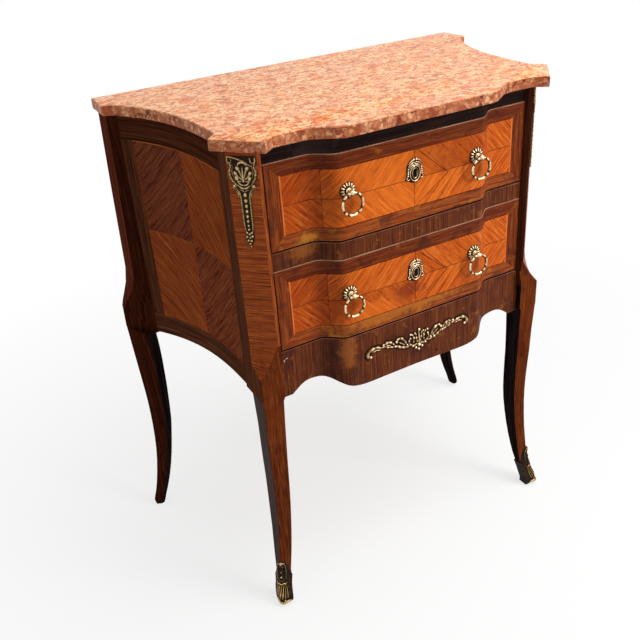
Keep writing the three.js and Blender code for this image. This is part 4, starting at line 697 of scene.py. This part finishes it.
# %% [markdown]
# The sides are hollow: from the front post they run nearly straight, then turn out to the rear
# corner. The core is drawn again with finer steps than the solid, so no facets show, and the
# leaves go on it: a dark frame, a string, and four leaves whose grain meets at a cross.

# %% Hollow sides
SIDE_FRONT, SIDE_REAR = -107.7, 151.7
SIDE_NARROW, SIDE_WIDE, SIDE_SWEEP = 275.3, 336.0, 2.8
SIDE_BOTTOM, SIDE_TOP = (c.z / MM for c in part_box("side_panel_left"))
side_cuts = [8 * i for i in range(-20, 21)]


def side_out(y):
    share = min(max((y - SIDE_FRONT) / (SIDE_REAR - SIDE_FRONT), 0.0), 1.0)
    return SIDE_NARROW + (SIDE_WIDE - SIDE_NARROW) * share ** SIDE_SWEEP


def on_side(side, lift_off):
    def wrap(u, v, lift):
        y = u * side
        slope = (side_out(y + 0.1) - side_out(y - 0.1)) / 0.2
        out = Vector((1, -slope, 0)).normalized() * (lift + lift_off)
        return Vector((side * (side_out(y) + out.x), y + out.y, v)) * MM
    return wrap


def side_leaves(side):
    front, rear, joint = -102.0, 132.0, 24.0
    low, mid, high, line = 462.0, 628.0, 782.0, 1.4
    y0, y1 = SIDE_FRONT + 0.3, SIDE_REAR - 0.3
    slant = 43 * -side
    return [(box_outline(*sorted((a * side, b * side)), z0, z1), angle, shade, wood)
            for a, b, z0, z1, angle, shade, wood in (
                (front + line, joint, mid, high - line, -slant, 1.0, side_field),
                (joint, rear - line, mid, high - line, slant, 0.0, side_field),
                (front + line, joint, low, mid, slant, 0.1, side_field),
                (joint, rear - line, low, mid, -slant, 0.9, side_field),
                (front, rear, high - line, high, 0, 0.6, side_string),
                (front, front + line, low, high - line, 90, 0.1, side_string),
                (rear - line, rear, low, high - line, 90, 0.1, side_string),
                (y0, y1, high, SIDE_TOP - 0.2, 0, 0.25, side_frame),
                (y0, y1, SIDE_BOTTOM + 0.2, low, 0, 0.42, side_frame),
                (y0, front, low, high, 90, 0.4, side_frame),
                (rear, y1, low, high, 90, 0.33, side_frame))]


for side_name, side in SIDES:
    whole = box_outline(*sorted((SIDE_FRONT * side, SIDE_REAR * side)), SIDE_BOTTOM, SIDE_TOP)
    core = lay_leaves(f"side_core_{side_name}", [(whole, 90, 0.4, shadow_wood)],
                      on_side(side, -0.4), side_cuts, "case", sheet=15.0)
    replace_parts(core, f"side_panel_{side_name}")
    lay_leaves(f"side_marquetry_{side_name}", side_leaves(side), on_side(side, 0.0), side_cuts,
               "case")

# %% [markdown]
# Everything inside is plain oak, with the grain running the long way of each board. These
# solids are right as they are, so they keep their shape and only take a material.

# %% Carcass woods and locks
METALS = {"lock_case": lock_brass, "lock_bolt": lock_steel, "drawer_front": oak_x}
for name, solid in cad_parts.items():
    low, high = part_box(name)
    size = list(high - low)
    finish = (oak_x, oak_y, oak_z)[size.index(max(size))]
    for ending, own_finish in METALS.items():
        if name.endswith(ending):
            finish = own_finish
    solid.data.materials.clear()
    solid.data.materials.append(finish)

# %% [markdown]
# Cast mounts are modelled in wax as ridges, leaves, scrolls and beads on a thin plate, then cast
# and chased. The same parts are made here: a ridge is a closed skin swept along a smooth line,
# swelling and tapering as it goes, and a bead is a dome. Each point also keeps how high it
# stands, which the gilding uses to tell worn crest from dark hollow.

# %% Ridges, beads and plates
SWEEP, FINE_SWEEP = 1.3, 0.7
RIDGE = [(-1, 0.0), (-0.94, 0.42), (-0.62, 0.8), (0, 1.0), (0.62, 0.8), (0.94, 0.42), (1, 0.0)]
DOME = [(1, 0.05), (0.92, 0.38), (0.71, 0.71), (0.38, 0.92), (0.08, 1.0)]
SEAT = -0.3
AROUND = 12


def smooth_line(points, gap=SWEEP):
    """Evenly spaced points of a smooth curve through the given ones."""
    ends = [tuple(2 * a - b for a, b in zip(points[0], points[1])), *points,
            tuple(2 * a - b for a, b in zip(points[-1], points[-2]))]
    line = []
    for p0, p1, p2, p3 in zip(ends, ends[1:], ends[2:], ends[3:]):
        count = max(2, round(math.dist(p1, p2) / gap))
        for i in range(count):
            t = i / count
            line.append(tuple(((2 * b) + (c - a) * t + (2 * a - 5 * b + 4 * c - d) * t ** 2
                               + (3 * b - a - 3 * c + d) * t ** 3) / 2
                              for a, b, c, d in zip(p0, p1, p2, p3)))
    return line + [tuple(points[-1])]


def along(values, share):
    """A size that changes along a ridge, from a few values given at even steps."""
    if not isinstance(values, tuple):
        return values
    place = share * (len(values) - 1)
    i = min(int(place), len(values) - 2)
    return values[i] + (values[i + 1] - values[i]) * (place - i)


class Relief:
    """A bronze piece under the modeller's hand: everything is added to one mesh."""

    def __init__(self, wrap):
        self.wrap = wrap
        self.bm = bmesh.new()
        self.tone = self.bm.verts.layers.float_color.new("relief")

    def skin(self, rings, shades):
        made = []
        for ring, shade in zip(rings, shades):
            corners = [self.bm.verts.new(self.wrap(*point)) for point in ring]
            for corner, value in zip(corners, shade):
                corner[self.tone] = (value, value, value, 1.0)
            made.append(corners)
        for a, b in zip(made, made[1:]):
            for i in range(len(a)):
                j = (i + 1) % len(a)
                self.bm.faces.new((a[i], a[j], b[j], b[i]))
        self.bm.faces.new(list(reversed(made[0])))
        self.bm.faces.new(made[-1])

    def ridge(self, points, width, height, base=0.0, crest=1.0, beat=0.0, beats=0):
        """A swept ridge; beat and beats make it swell like a row of husks or a ribbon."""
        line = smooth_line(points, FINE_SWEEP if beats else SWEEP)
        rings, shades = [], []
        for k, (u, v) in enumerate(line):
            ahead, behind = line[min(k + 1, len(line) - 1)], line[max(k - 1, 0)]
            du, dv = ahead[0] - behind[0], ahead[1] - behind[1]
            size = math.hypot(du, dv) or 1
            share = k / (len(line) - 1)
            pulse = 1 - beat * (0.5 + 0.5 * math.cos(2 * math.pi * beats * share))
            w, h = along(width, share) / 2 * pulse, along(height, share) * pulse
            rings.append([(u - dv / size * w * s, v + du / size * w * s, base + lift)
                          for s, lift in [(s, h * l) for s, l in RIDGE] + [(1, SEAT), (-1, SEAT)]])
            top = crest * (0.35 + 0.65 * pulse if beats else 1)
            shades.append([top * l ** 1.5 for _, l in RIDGE] + [0.0, 0.0])
        self.skin(rings, shades)

    def bead(self, u, v, wide, tall, height, base=0.0, crest=1.0, turn=0.0):
        rings, shades = [], []
        for spread, lift in [(1, SEAT)] + [(spread, height * lift) for spread, lift in DOME]:
            ring = []
            for i in range(AROUND):
                angle = 2 * math.pi * i / AROUND
                a, b = wide * spread * math.cos(angle), tall * spread * math.sin(angle)
                ring.append((u + a * math.cos(turn) - b * math.sin(turn),
                             v + a * math.sin(turn) + b * math.cos(turn), base + lift))
            rings.append(ring)
            shades.append([crest * (max(lift, 0) / height) ** 1.3] * AROUND)
        self.skin(rings, shades)

    def plate(self, outline, thickness, base=0.0, shade=0.06):
        self.skin([[(u, v, base + lift) for u, v in outline] for lift in (0.0, thickness)],
                  [[shade] * len(outline)] * 2)

    def finish(self, name, body, *nodes, metal=gilt):
        bmesh.ops.recalc_face_normals(self.bm, faces=self.bm.faces)
        for face in self.bm.faces:
            face.smooth = True
        piece = hang(name, self.bm, [metal], body, sharp=50)
        if nodes:
            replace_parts(piece, *nodes)


def flat_place(origin, across=ACROSS, out=FORWARD):
    return lambda u, v, lift: origin + (across * u + UP * v + out * lift) * MM


def back_of(name):
    """The middle of a mount's back, where it meets the wood."""
    low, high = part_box(name)
    return Vector(((low.x + high.x) / 2, high.y, (low.z + high.z) / 2))


def both(points, side):
    return [(u * side, v) for u, v in points]


# %% [markdown]
# The corner mount is a shield of pierced scrolls round a palmette, and a tapering drop of husks
# below it. Its top bar runs down across the head, as rococo work often does.

# %% Corner mounts
MOUNT_GAP = 0.3
TAPER, TAPER_FROM = 0.12, 8
CHUTE_TOP = 0.8123
CANT_CENTRE = (0.2592, -0.1512)
CHUTE_OUTLINE = [(22.4, 0), (22.6, -9.6), (19.6, -13), (21.2, -22), (19.6, -31), (15.2, -38),
                 (16.4, -43), (11.5, -48), (8.4, -56), (7.6, -68), (7.3, -100), (6.2, -112),
                 (6.6, -118), (4.4, -126), (1.0, -133)]
LOBES = (((1.6, -31), (4.4, -22), (7, -17.4), 3.3), ((2.4, -33), (8.2, -28), (10.8, -24.2), 3.1),
         ((3, -35.5), (8, -36), (9.4, -31.6), 3.7))
HUSKS = ((-55.5, 2.5), (-63.8, 2.4), (-71.6, 2.2), (-79.4, 2.1), (-87, 1.9), (-94, 1.8),
         (-100.6, 1.6), (-106.4, 1.5))
BERRIES = ((-3.6, -111.5, 1.7), (0, -113.4, 1.9), (3.4, -111.3, 1.7), (-4.2, -117.6, 1.9),
           (0.4, -119, 1.5), (3.7, -116.8, 2), (-2.9, -123.4, 1.8), (1.6, -123.8, 1.8),
           (-0.8, -128, 1.6), (0.5, -131.8, 1.3))


def corner_mount(side, side_name):
    out = Vector((side, -1, 0)).normalized()
    origin = Vector((CANT_CENTRE[0] * side, CANT_CENTRE[1], CHUTE_TOP)) + out * MOUNT_GAP * MM
    place = flat_place(origin, Vector((1, side, 0)).normalized(), out)

    def tapered(u, v, lift):
        return place(u - math.copysign(TAPER * max(abs(u) - TAPER_FROM, 0), u), v, lift)

    mount = Relief(tapered)
    half = smooth_line(CHUTE_OUTLINE, 3)
    mount.plate(half + both(reversed(half), -1), 0.9, shade=0.2)
    for s in (-1, 1):
        mount.ridge(both([(20.6, -9), (17.8, -15), (20.2, -22), (18.7, -31), (14, -37.5),
                          (10.5, -42.5)], s), (2.6, 3.8, 4.8, 4.4, 3), (1.4, 2, 2.9, 2.6, 1.8),
                    crest=0.72, beat=0.12, beats=7)
        mount.ridge(both([(16.4, -11), (14.4, -15), (16.2, -21), (14.8, -28), (11.6, -33)], s),
                    (1.2, 2.2, 1.2), 1.5, crest=0.75)
        mount.bead(14.6 * s, -42.6, 3.1, 3.0, 2.8)
        mount.ridge(both([(15.6, -41), (17.2, -44.4), (13.4, -47), (10.6, -44)], s), 1.5, 1.6,
                    crest=0.8)
        mount.ridge(both([(11.2, -47.5), (8.2, -52), (6.6, -58), (6.4, -68), (6.2, -85),
                          (6, -100), (4.6, -111)], s), (3.6, 3.2, 2.9, 2.7, 2), (2.4, 2, 1.8),
                    crest=0.82, beat=0.28, beats=20)
        mount.ridge(both([(12.6, -50), (9.8, -53), (8.6, -58)], s), (1.2, 2.2, 1), 2)
        for start, middle, lobe, size in LOBES:
            mount.ridge(both([start, middle, lobe], s), (2, 2.6, 3.4), (1.2, 1.8, 2.2), crest=0.9)
            aim = math.atan2(lobe[1] - middle[1], (lobe[0] - middle[0]) * s)
            mount.bead(lobe[0] * s, lobe[1], size * 1.3, size * 1.02, 2.9, turn=aim)
        mount.ridge(both([(0.6, -41.5), (4.6, -40.2), (8.4, -36.6)], s), (2.4, 2.8, 1.4), 1.9)
        mount.ridge(both([(0.6, -46), (5.2, -44.4), (9.4, -40.4)], s), (2.8, 2.8, 1.4), 2)
        mount.ridge(both([(0.8, -50.5), (3.4, -48.5), (6.8, -47.6)], s), (1.6, 1.6, 0.8), 1.6)
    mount.ridge([(-6.4, -13.4), (-4.4, -10.2), (0, -8.6), (4.4, -10.2), (6.4, -13.4)],
                (1.6, 3.8, 4.4, 3.8, 1.6), (1.4, 2.9, 1.4))
    mount.ridge([(0, -14.5), (-0.4, -24), (0, -36)], (1.4, 2.5, 3.8), (0.9, 1.6, 2.4))
    mount.ridge(both([(-21.6, -1.2), (-10.7, -2.8), (0, -6.4), (7.6, -11), (15.4, -14.6)], -side),
                (3.6, 3.2, 3.4, 3.2, 1.8), (2, 2.3, 2.3, 1.6), crest=0.72)
    mount.ridge(both([(-21.6, -0.8), (-22, -8.6), (-17.8, -9.6), (-15.4, -6.2), (-18, -4.2)],
                     -side), (2.6, 2.6, 2, 1.4), 1.9, crest=0.8)
    mount.ridge(both([(12.6, -2.4), (13.6, -8), (17.4, -9.4), (20.4, -7.8), (20.9, -1.8)], -side),
                (1.6, 2.2, 2.6, 2.2), (1.6, 2.4, 1.8))
    for v, size in HUSKS:
        mount.bead(0, v, size * 1.2, size * 1.6, 2.6)
    for u, v, size in BERRIES:
        mount.bead(u, v, size * 1.12, size * 1.25, 2.4)
    mount.finish(f"corner_mount_{side_name}", "case", f"chute_{side_name}", metal=olive_gilt)


for side_name, side in SIDES:
    corner_mount(side, side_name)

# %% [markdown]
# The apron carries a spray of acanthus scrolls that grow from a budding centre. Every scroll is
# a pair of ridges round a dark hollow, ending in a curl, and the two halves nearly mirror. A low
# dark ridge lies under every bright one: painted shadow round each scroll.

# %% Apron mount
FULL, SHADOW_SHARE = 1.9, 1.5
THIN, THIN_SHADOW = 2.21, 3.536
SCROLLS = (
    ([(72, 7), (80, 11), (90, 11.6), (98, 7.6), (100, 0.6), (95, -2.4)],
     (1.6, 3.2, 4, 4.2, 3.6), (1.6, 3, 3.4, 3.4, 2.6)),
    ([(74, 4.6), (83, 6.6), (91, 5)], (0.8, 2, 1), (1, 1.8, 1)),
    ([(47, 3), (53, 10), (60, 13.4), (67, 12.4)], (1.4, 2.8, 3.6, 3), (1.6, 3, 2.6)),
    ([(48, 1.4), (58, 3.6), (69, 8.4), (75, 8.2)], (1.4, 2.6, 2.4, 1.2), (1.6, 2.6, 1.6)),
    ([(24, -2.4), (28, 5.4), (35, 12.4), (42, 12.6), (46.4, 7)], (1.4, 2.8, 3.4, 3.4, 1.8),
     (1.6, 3, 3.2, 2)),
    ([(19, -8), (27, -7.2), (37, -3.4), (48.6, 3)], (1.6, 3.2, 3.4, 2), (1.8, 3, 2)),
    ([(27, -3.4), (33, 2), (39, 6)], (0.9, 2, 1), 1.6),
    ([(11.4, -6), (9.6, 2), (11.6, 9.6), (15.6, 14)], (1.6, 2.6, 2.8, 1.8), (1.8, 3, 2.4)),
    ([(11.6, -8.4), (17, -5.8), (19.4, 0.6), (17.4, 6.4)], (1.6, 2.8, 2.6, 1.2), (1.8, 2.8, 1.6)),
    ([(1.4, -7), (4.4, 0), (5.2, 8), (7.2, 13)], (1.8, 2.6, 2.2, 1), (2, 3, 1.8)),
    ([(2, -9), (7, -8.6), (10.6, -11.2)], (2, 2.6, 2), (2.2, 2.8, 2)))
BUDS = ((94.6, -1.6, 3), (70, 12.6, 2.6), (44.8, 9.4, 2.6), (17, 13.6, 2.4), (17.6, 6.6, 2.2),
        (23.6, -3, 2.3), (47.6, 2.2, 2.3), (12.4, -9.2, 2.6), (8.2, 13.8, 1.8), (6.2, -14.4, 3))
spray = Relief(flat_place(back_of("apron_mount")))


def scroll(path, wide, tall, shadow_width):
    # The low dark ridge under each scroll is painted shadow.
    spray.ridge(path, shadow_width, 0.5, base=-0.2, crest=0.0)
    spray.ridge(path, wide, tall, base=-0.2, crest=0.8, beat=0.34,
                beats=max(2, round(math.dist(path[0], path[-1]) / 8)))


for s in (-1, 1):
    for path, wide, tall in SCROLLS:
        scroll(both(path, s), tuple(w * FULL for w in wide), tall, max(wide) * FULL * SHADOW_SHARE)
    scroll(both([(55, 5.4), (60, 8.6), (64, 9)], s), THIN, 1.4, THIN_SHADOW)
    for u, v, size in BUDS:
        spray.bead(u * s, v, size, size, 3.6)
spray.ridge([(0, -7), (0.4, 3), (0, 15)], (2.4, 3.4, 1.8), (2.4, 3.2, 2))
for u, v, wide, tall, height in ((0, 18.2, 3.4, 3.2, 4.4), (0, -10.6, 4, 3.8, 4.6),
                                 (-0.6, -18.6, 2.8, 3.2, 3.8)):
    spray.bead(u, v, wide, tall, height)
spray.finish("apron_spray", "case", "apron_mount")

# The nail hole is a near-black disc: painted shade in the hole.
nail_hole = Relief(flat_place(Vector((0, centre_plane - 0.2, 0)) * MM))
nail_hole.bead(42.2, 414.7, 1.8, 1.8, 0.15)
nail_hole.finish("apron_nail_hole", "case", metal=hole_shade)
chip = Relief(flat_place(Vector((0, drawer_plane - 0.2, 0)) * MM))
chip.bead(-230.6, 479.6, 0.9, 2.4, 0.2, turn=0.2)
chip.bead(-226.4, 482.4, 2.8, 0.6, 0.2, turn=0.25)
chip.finish("apron_chip", "case", metal=bare_chip)

# %% [markdown]
# Each keyhole has an escutcheon: an oval rim under a crest of leaves, with sprays falling down
# both sides and curling outward at the foot. Its middle is the dark of the hole, a near-black
# plate of painted shade, and a dark copy of the shield beneath it is painted shadow.

# %% Escutcheons
SHIELD_OUTLINE = [(0, 17), (6, 16.4), (11.4, 11.6), (12.4, 4), (12.6, -3), (14.6, -9),
                  (10, -11.6), (5.6, -13.4), (0, -15.4)]
CREST_LEAVES = ([(0.8, 11.4), (5.6, 10.6), (9.4, 6.4)], [(1.2, 15.2), (7, 13.6), (11.2, 8.8)],
                [(3, 19), (7.6, 17), (11.2, 13)])
KEYHOLE_RISE = 0.0108


def oval(wide, tall, middle):
    return [(wide * math.sin(a), middle + tall * math.cos(a))
            for a in (2 * math.pi * i / 16 for i in range(17))]


def escutcheon(level_name):
    origin = back_of(f"{level_name}_escutcheon")
    origin.z = back_of(f"{level_name}_drawer_front").z + KEYHOLE_RISE
    piece = Relief(flat_place(origin))
    half = smooth_line(SHIELD_OUTLINE, 2)
    shield = half + both(reversed(half[1:-1]), -1)
    piece.plate(shield, 0.9)
    # A dark copy of the shield, wider and set down to the left, lies under it: painted shadow of
    # the mount on the wood.
    piece.plate([(u * 1.08 - 1.1, v * 1.05 - 0.9) for u, v in shield], 0.45, shade=0.0)
    inner = oval(5, 7.8, -1.6)
    piece.plate([(u * 0.98, v) for u, v in inner[:-1]], 0.3, base=0.8, shade=0.5)
    piece.ridge(oval(9, 11.6, -2), 2.3, 2.4, base=0.7, crest=0.95)
    piece.ridge(inner, 1.7, 1.9, base=0.7, crest=0.8)
    for s in (-1, 1):
        piece.ridge(both([(11.4, 7.4), (11.8, 3), (12, -1), (12.6, -6.4)], s),
                    (2.6, 3.4, 3.4, 2.6), (2.2, 2.8, 2.2), beat=0.35, beats=4)
        piece.ridge(both([(12.4, -5), (14.6, -8.4), (12.4, -11), (9.6, -9.6)], s), 1.9, 2.3)
        for leaf in CREST_LEAVES:
            piece.ridge(both(leaf, s), (1.6, 2.9, 2.6, 1.4), (2, 2.8, 2.4, 1.4), base=0.4,
                        crest=0.9)
        piece.bead(2.5 * s, 19, 2.3, 2.7, 2.8, base=0.3)
    piece.bead(0, 13.2, 1.7, 2.2, 3.2)
    piece.bead(0, -14, 2.4, 1.8, 2.4)
    piece.finish(f"{level_name}_escutcheon_cast", f"{level_name}_drawer",
                 f"{level_name}_escutcheon")
    # The keyhole is a near-black plate: painted shade in the hole.
    hole = Relief(flat_place(origin))
    hole.bead(0, 2.2, 3.4, 3.4, 0.4, base=1.15, crest=0.0)
    hole.plate([(-2.2, 1.6), (2.2, 1.6), (2.8, -8.4), (-2.8, -8.4)], 0.35, base=1.15, shade=0.0)
    hole.finish(f"{level_name}_keyhole", f"{level_name}_drawer", metal=hole_shade)


# %% [markdown]
# The ring pulls hang from a stud in the middle of a fluted rosette. The ring is cast as a
# wreath: leaf after leaf round the wire, bound at four places.

# %% Ring pulls
FLUTES = 14
ROSETTE_STEPS = ((1, SEAT, 0), (1, 0.4, 0.5), (0.93, 1.5, 1), (0.8, 2.5, 1), (0.62, 3.0, 1),
                 (0.48, 2.7, 0.8), (0.42, 1.6, 0), (0.36, 1.5, 0), (0.32, 2.8, 0), (0.24, 3.4, 0),
                 (0.08, 3.6, 0))
RING_LEAVES, RING_WIRE, WIRE_SIDES = 12, 2.15, 10


def half_width(name):
    low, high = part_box(name)
    return (high.x - low.x) / 2 / MM


def rosette(level_name, side_name):
    name = f"{level_name}_rosette_{side_name}"
    radius = half_width(name) * 0.93
    piece = Relief(flat_place(back_of(name)))
    rings, shades = [], []
    for share, lift, flute in ROSETTE_STEPS:
        ring, shade = [], []
        for i in range(FLUTES * 6):
            angle = 2 * math.pi * i / (FLUTES * 6)
            swell = abs(math.cos(FLUTES * angle / 2)) ** 0.7
            reach = radius * share * (1 - 0.06 * flute * (1 - swell))
            height = lift - 1.5 * flute * (1 - swell)
            ring.append((reach * math.cos(angle), reach * math.sin(angle), height))
            bright = swell ** 1.5 if flute else 0.35
            shade.append(max(0.0, min(1.0, height / 2.9)) * bright)
        rings.append(ring)
        shades.append(shade)
    piece.skin(rings, shades)
    piece.finish(name + "_cast", f"{level_name}_drawer", name)


def ring_pull(level_name, side_name):
    name = f"{level_name}_ring_{side_name}"
    centre = sum(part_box(name), Vector()) / 2
    radius = half_width(name) - RING_WIRE - 0.3
    around = RING_LEAVES * 8
    bm = bmesh.new()
    tone = bm.verts.layers.float_color.new("relief")
    loops = []
    for i in range(around):
        angle = 2 * math.pi * i / around
        leaf = (RING_LEAVES * i / around) % 1
        bound = abs(((4 * i / around + 0.5) % 1) - 0.5) < 0.1
        thick = RING_WIRE * (1.1 if bound else 0.7 + 0.42 * math.sin(math.pi * leaf) ** 0.6)
        loop = []
        for j in range(WIRE_SIDES):
            turn = 2 * math.pi * j / WIRE_SIDES
            bump = 1 + 0.1 * math.cos(3 * turn + 2 * math.pi * leaf)
            reach = radius + thick * bump * math.cos(turn)
            place = Vector((reach * math.sin(angle), thick * bump * math.sin(turn),
                            reach * math.cos(angle)))
            vert = bm.verts.new(centre + place * MM)
            value = 0.9 if bound else 0.04 + 0.9 * math.sin(math.pi * leaf) ** 0.8
            # The side of the wire towards the drawer and the inside of the ring are darkened:
            # painted shade.
            value *= (0.7 - 0.4 * math.sin(turn)) * (0.86 + 0.24 * math.cos(turn))
            vert[tone] = (value, value, value, 1.0)
            loop.append(vert)
        loops.append(loop)
    for a, b in zip(loops, loops[1:] + loops[:1]):
        for j in range(WIRE_SIDES):
            k = (j + 1) % WIRE_SIDES
            bm.faces.new((a[j], a[k], b[k], b[j])).smooth = True
    bmesh.ops.recalc_face_normals(bm, faces=bm.faces)
    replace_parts(hang(name + "_wreath", bm, [gilt], name), name)


for level_name in LEVELS:
    escutcheon(level_name)
    for side_name, _ in SIDES:
        rosette(level_name, side_name)
        ring_pull(level_name, side_name)

# %% [markdown]
# The front feet wear sabots, bronze shoes cast to the leg's own section. Their chasing has to
# lie on a surface that leans and turns, so each point is found by looking from outside towards
# the middle of the leg and meeting the solid there. The studs of the rings are gilt as cast.

# %% Sabots and studs
LEG_GIRTH = 15.0
SLICE, FROM_OUTSIDE, LEG_HALF = 0.008, 0.08, 0.014


def around_sabot(name, side):
    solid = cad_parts[name].data
    shell = BVHTree.FromPolygons([v.co for v in solid.vertices],
                                 [p.vertices for p in solid.polygons])
    low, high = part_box(name)

    def slice_centre(height):
        near = [v.co for v in solid.vertices if abs(v.co.z - height) < SLICE]
        return sum((Vector((c.x, c.y, 0)) for c in near), Vector()) / len(near)

    foot, top = slice_centre(low.z + 0.004), slice_centre(high.z * 0.5)

    def wrap(u, v, lift):
        height = v * MM
        centre = foot.lerp(top, (height - low.z) / (high.z * 0.5 - low.z)) + UP * height
        angle = math.pi / 4 - u / LEG_GIRTH
        out = Vector((side * math.sin(angle), -math.cos(angle), 0))
        hit, normal, _, _ = shell.ray_cast(centre + out * FROM_OUTSIDE, -out)
        if hit is None:
            hit, normal = centre + out * LEG_HALF, out
        return hit + normal * lift * MM
    return wrap


def all_of(finish, along=UP):
    return lambda normal, centre: (finish, along, 0.5, 0.5)


for side_name, side in SIDES:
    name = f"sabot_{side_name}"
    dress(name, all_of(foot_bronze), arris=1.2, relief=0.26)
    shoe = Relief(around_sabot(name, side))
    for s in (-1, 1):
        shoe.ridge(both([(0, 85), (6, 81), (11, 72), (13.4, 60), (13.8, 49)], s),
                   (2.4, 2.6, 2.2, 1.8), (1.8, 2, 1.6), crest=0.8)
        shoe.ridge(both([(0, 78), (5, 74), (8.6, 66), (9.4, 56), (5, 49), (0, 47)], s),
                   (1.2, 1.6, 1.4), 1.3, crest=0.5)
        shoe.ridge(both([(0, 40.6), (6, 42.4), (11, 40), (16, 42)], s), (2.2, 2.8, 2.4, 1.8),
                   (1.8, 2.4, 2))
        for u in (4, 9, 14.4):
            shoe.ridge(both([(u, 38), (u * 1.08, 28), (u * 0.96, 17)], s), (1.8, 2.8, 1.6),
                       (1.4, 2.2, 1.2), crest=0.9)
        shoe.ridge(both([(0, 8.4), (7, 9.2), (14, 9.6), (22, 8)], s), (6, 6, 5, 4), (3, 2.8, 1.6))
        shoe.bead(8 * s, 13.6, 2, 2, 2.2)
    shoe.ridge([(0, 38), (0, 27), (0, 15)], (2, 3, 1.6), (1.6, 2.4, 1.2), crest=0.9)
    shoe.bead(0, 82.6, 3.6, 4, 2.4)
    shoe.bead(0, 55, 2.4, 2.6, 2.2)
    shoe.bead(0, 65, 1.4, 2.6, 1.6, crest=0.8)
    shoe.finish(f"{name}_chasing", "case", metal=foot_bronze)

for level_name in LEVELS:
    for side_name, _ in SIDES:
        dress(f"{level_name}_stud_{side_name}", all_of(gilt), arris=0,
              body=f"{level_name}_drawer", relief=0.8)

# %% [markdown]
# The marble slab keeps its outline. Only its shading is smoothed, so that the hollow of each
# side reads as one curve, and its arris stays crisp.

# %% Marble top
dress("marble_top", all_of(marble, ACROSS), arris=0)

# %% [markdown]
# The lamps are soft boxes, as in a studio: a large one overhead, one to the right of the front,
# and a much weaker one at the left. The world fills in evenly. Mirror-like metal sees a white
# room, and the floor fades to plain white away from the commode, so that it keeps only the
# shadow.

# %% Light and floor
LIT_POINT = Vector((0, 0, 0.45))
for name, place, size, watts in (("overhead", (0.6, -0.6, 2.6), 1.4, 36),
                                 ("front_right", (1.6, -2.2, 1.4), 1.0, 42),
                                 ("left_fill", (-2.4, -0.9, 1.2), 1.2, 6)):
    lamp = bpy.data.lights.new(name, "AREA")
    lamp.shape = "SQUARE"
    lamp.size = size
    lamp.energy = watts
    soft_box = bpy.data.objects.new(name, lamp)
    soft_box.location = place
    soft_box.rotation_euler = (LIT_POINT - Vector(place)).to_track_quat("-Z", "Y").to_euler()
    scene.collection.objects.link(soft_box)

world = bpy.data.worlds.new("studio")
world.use_nodes = True
scene.world = world
sky = world.node_tree
sky.nodes.clear()
rays = node(sky, "LightPath").outputs
seen = node(sky, "Math", {0: rays["Is Camera Ray"], 1: rays["Is Glossy Ray"]}, operation="MAXIMUM")
seen = node(sky, "Math", {0: seen, 1: rays["Is Transmission Ray"]}, operation="MAXIMUM")
fill = node(sky, "Background", {"Color": linear("#F4F2F0"), "Strength": 0.3})
white = node(sky, "Background", {"Color": (1, 1, 1, 1), "Strength": 1.0})
backdrop = node(sky, "MixShader", {0: seen, 1: fill, 2: white})
node(sky, "OutputWorld", {"Surface": backdrop})

floor_mesh = bpy.data.meshes.new("floor")
bm = bmesh.new()
bmesh.ops.create_circle(bm, cap_ends=True, radius=4.0, segments=96)
bm.to_mesh(floor_mesh)
bm.free()
floor = bpy.data.objects.new("floor", floor_mesh)
floor.location.z = -0.0004
scene.collection.objects.link(floor)
material, tree = new_material("studio_floor")
where = node(tree, "TexCoord").outputs["Object"]
reach = node(tree, "VectorMath", {0: where}, operation="LENGTH")
fade = node(tree, "MapRange", {"Value": reach, "From Min": 0.3, "From Max": 1.4, "To Min": 0.7})
paint = node(tree, "BsdfPrincipled", {"Base Color": linear("#FAFAFA"), "Roughness": 0.85})
glow = node(tree, "Emission", {"Color": (1, 1, 1, 1), "Strength": 1.0})
node(tree, "OutputMaterial", {"Surface": node(tree, "MixShader", {0: fade, 1: paint, 2: glow})})
floor_mesh.materials.append(material)

scene.view_settings.view_transform = "Standard"
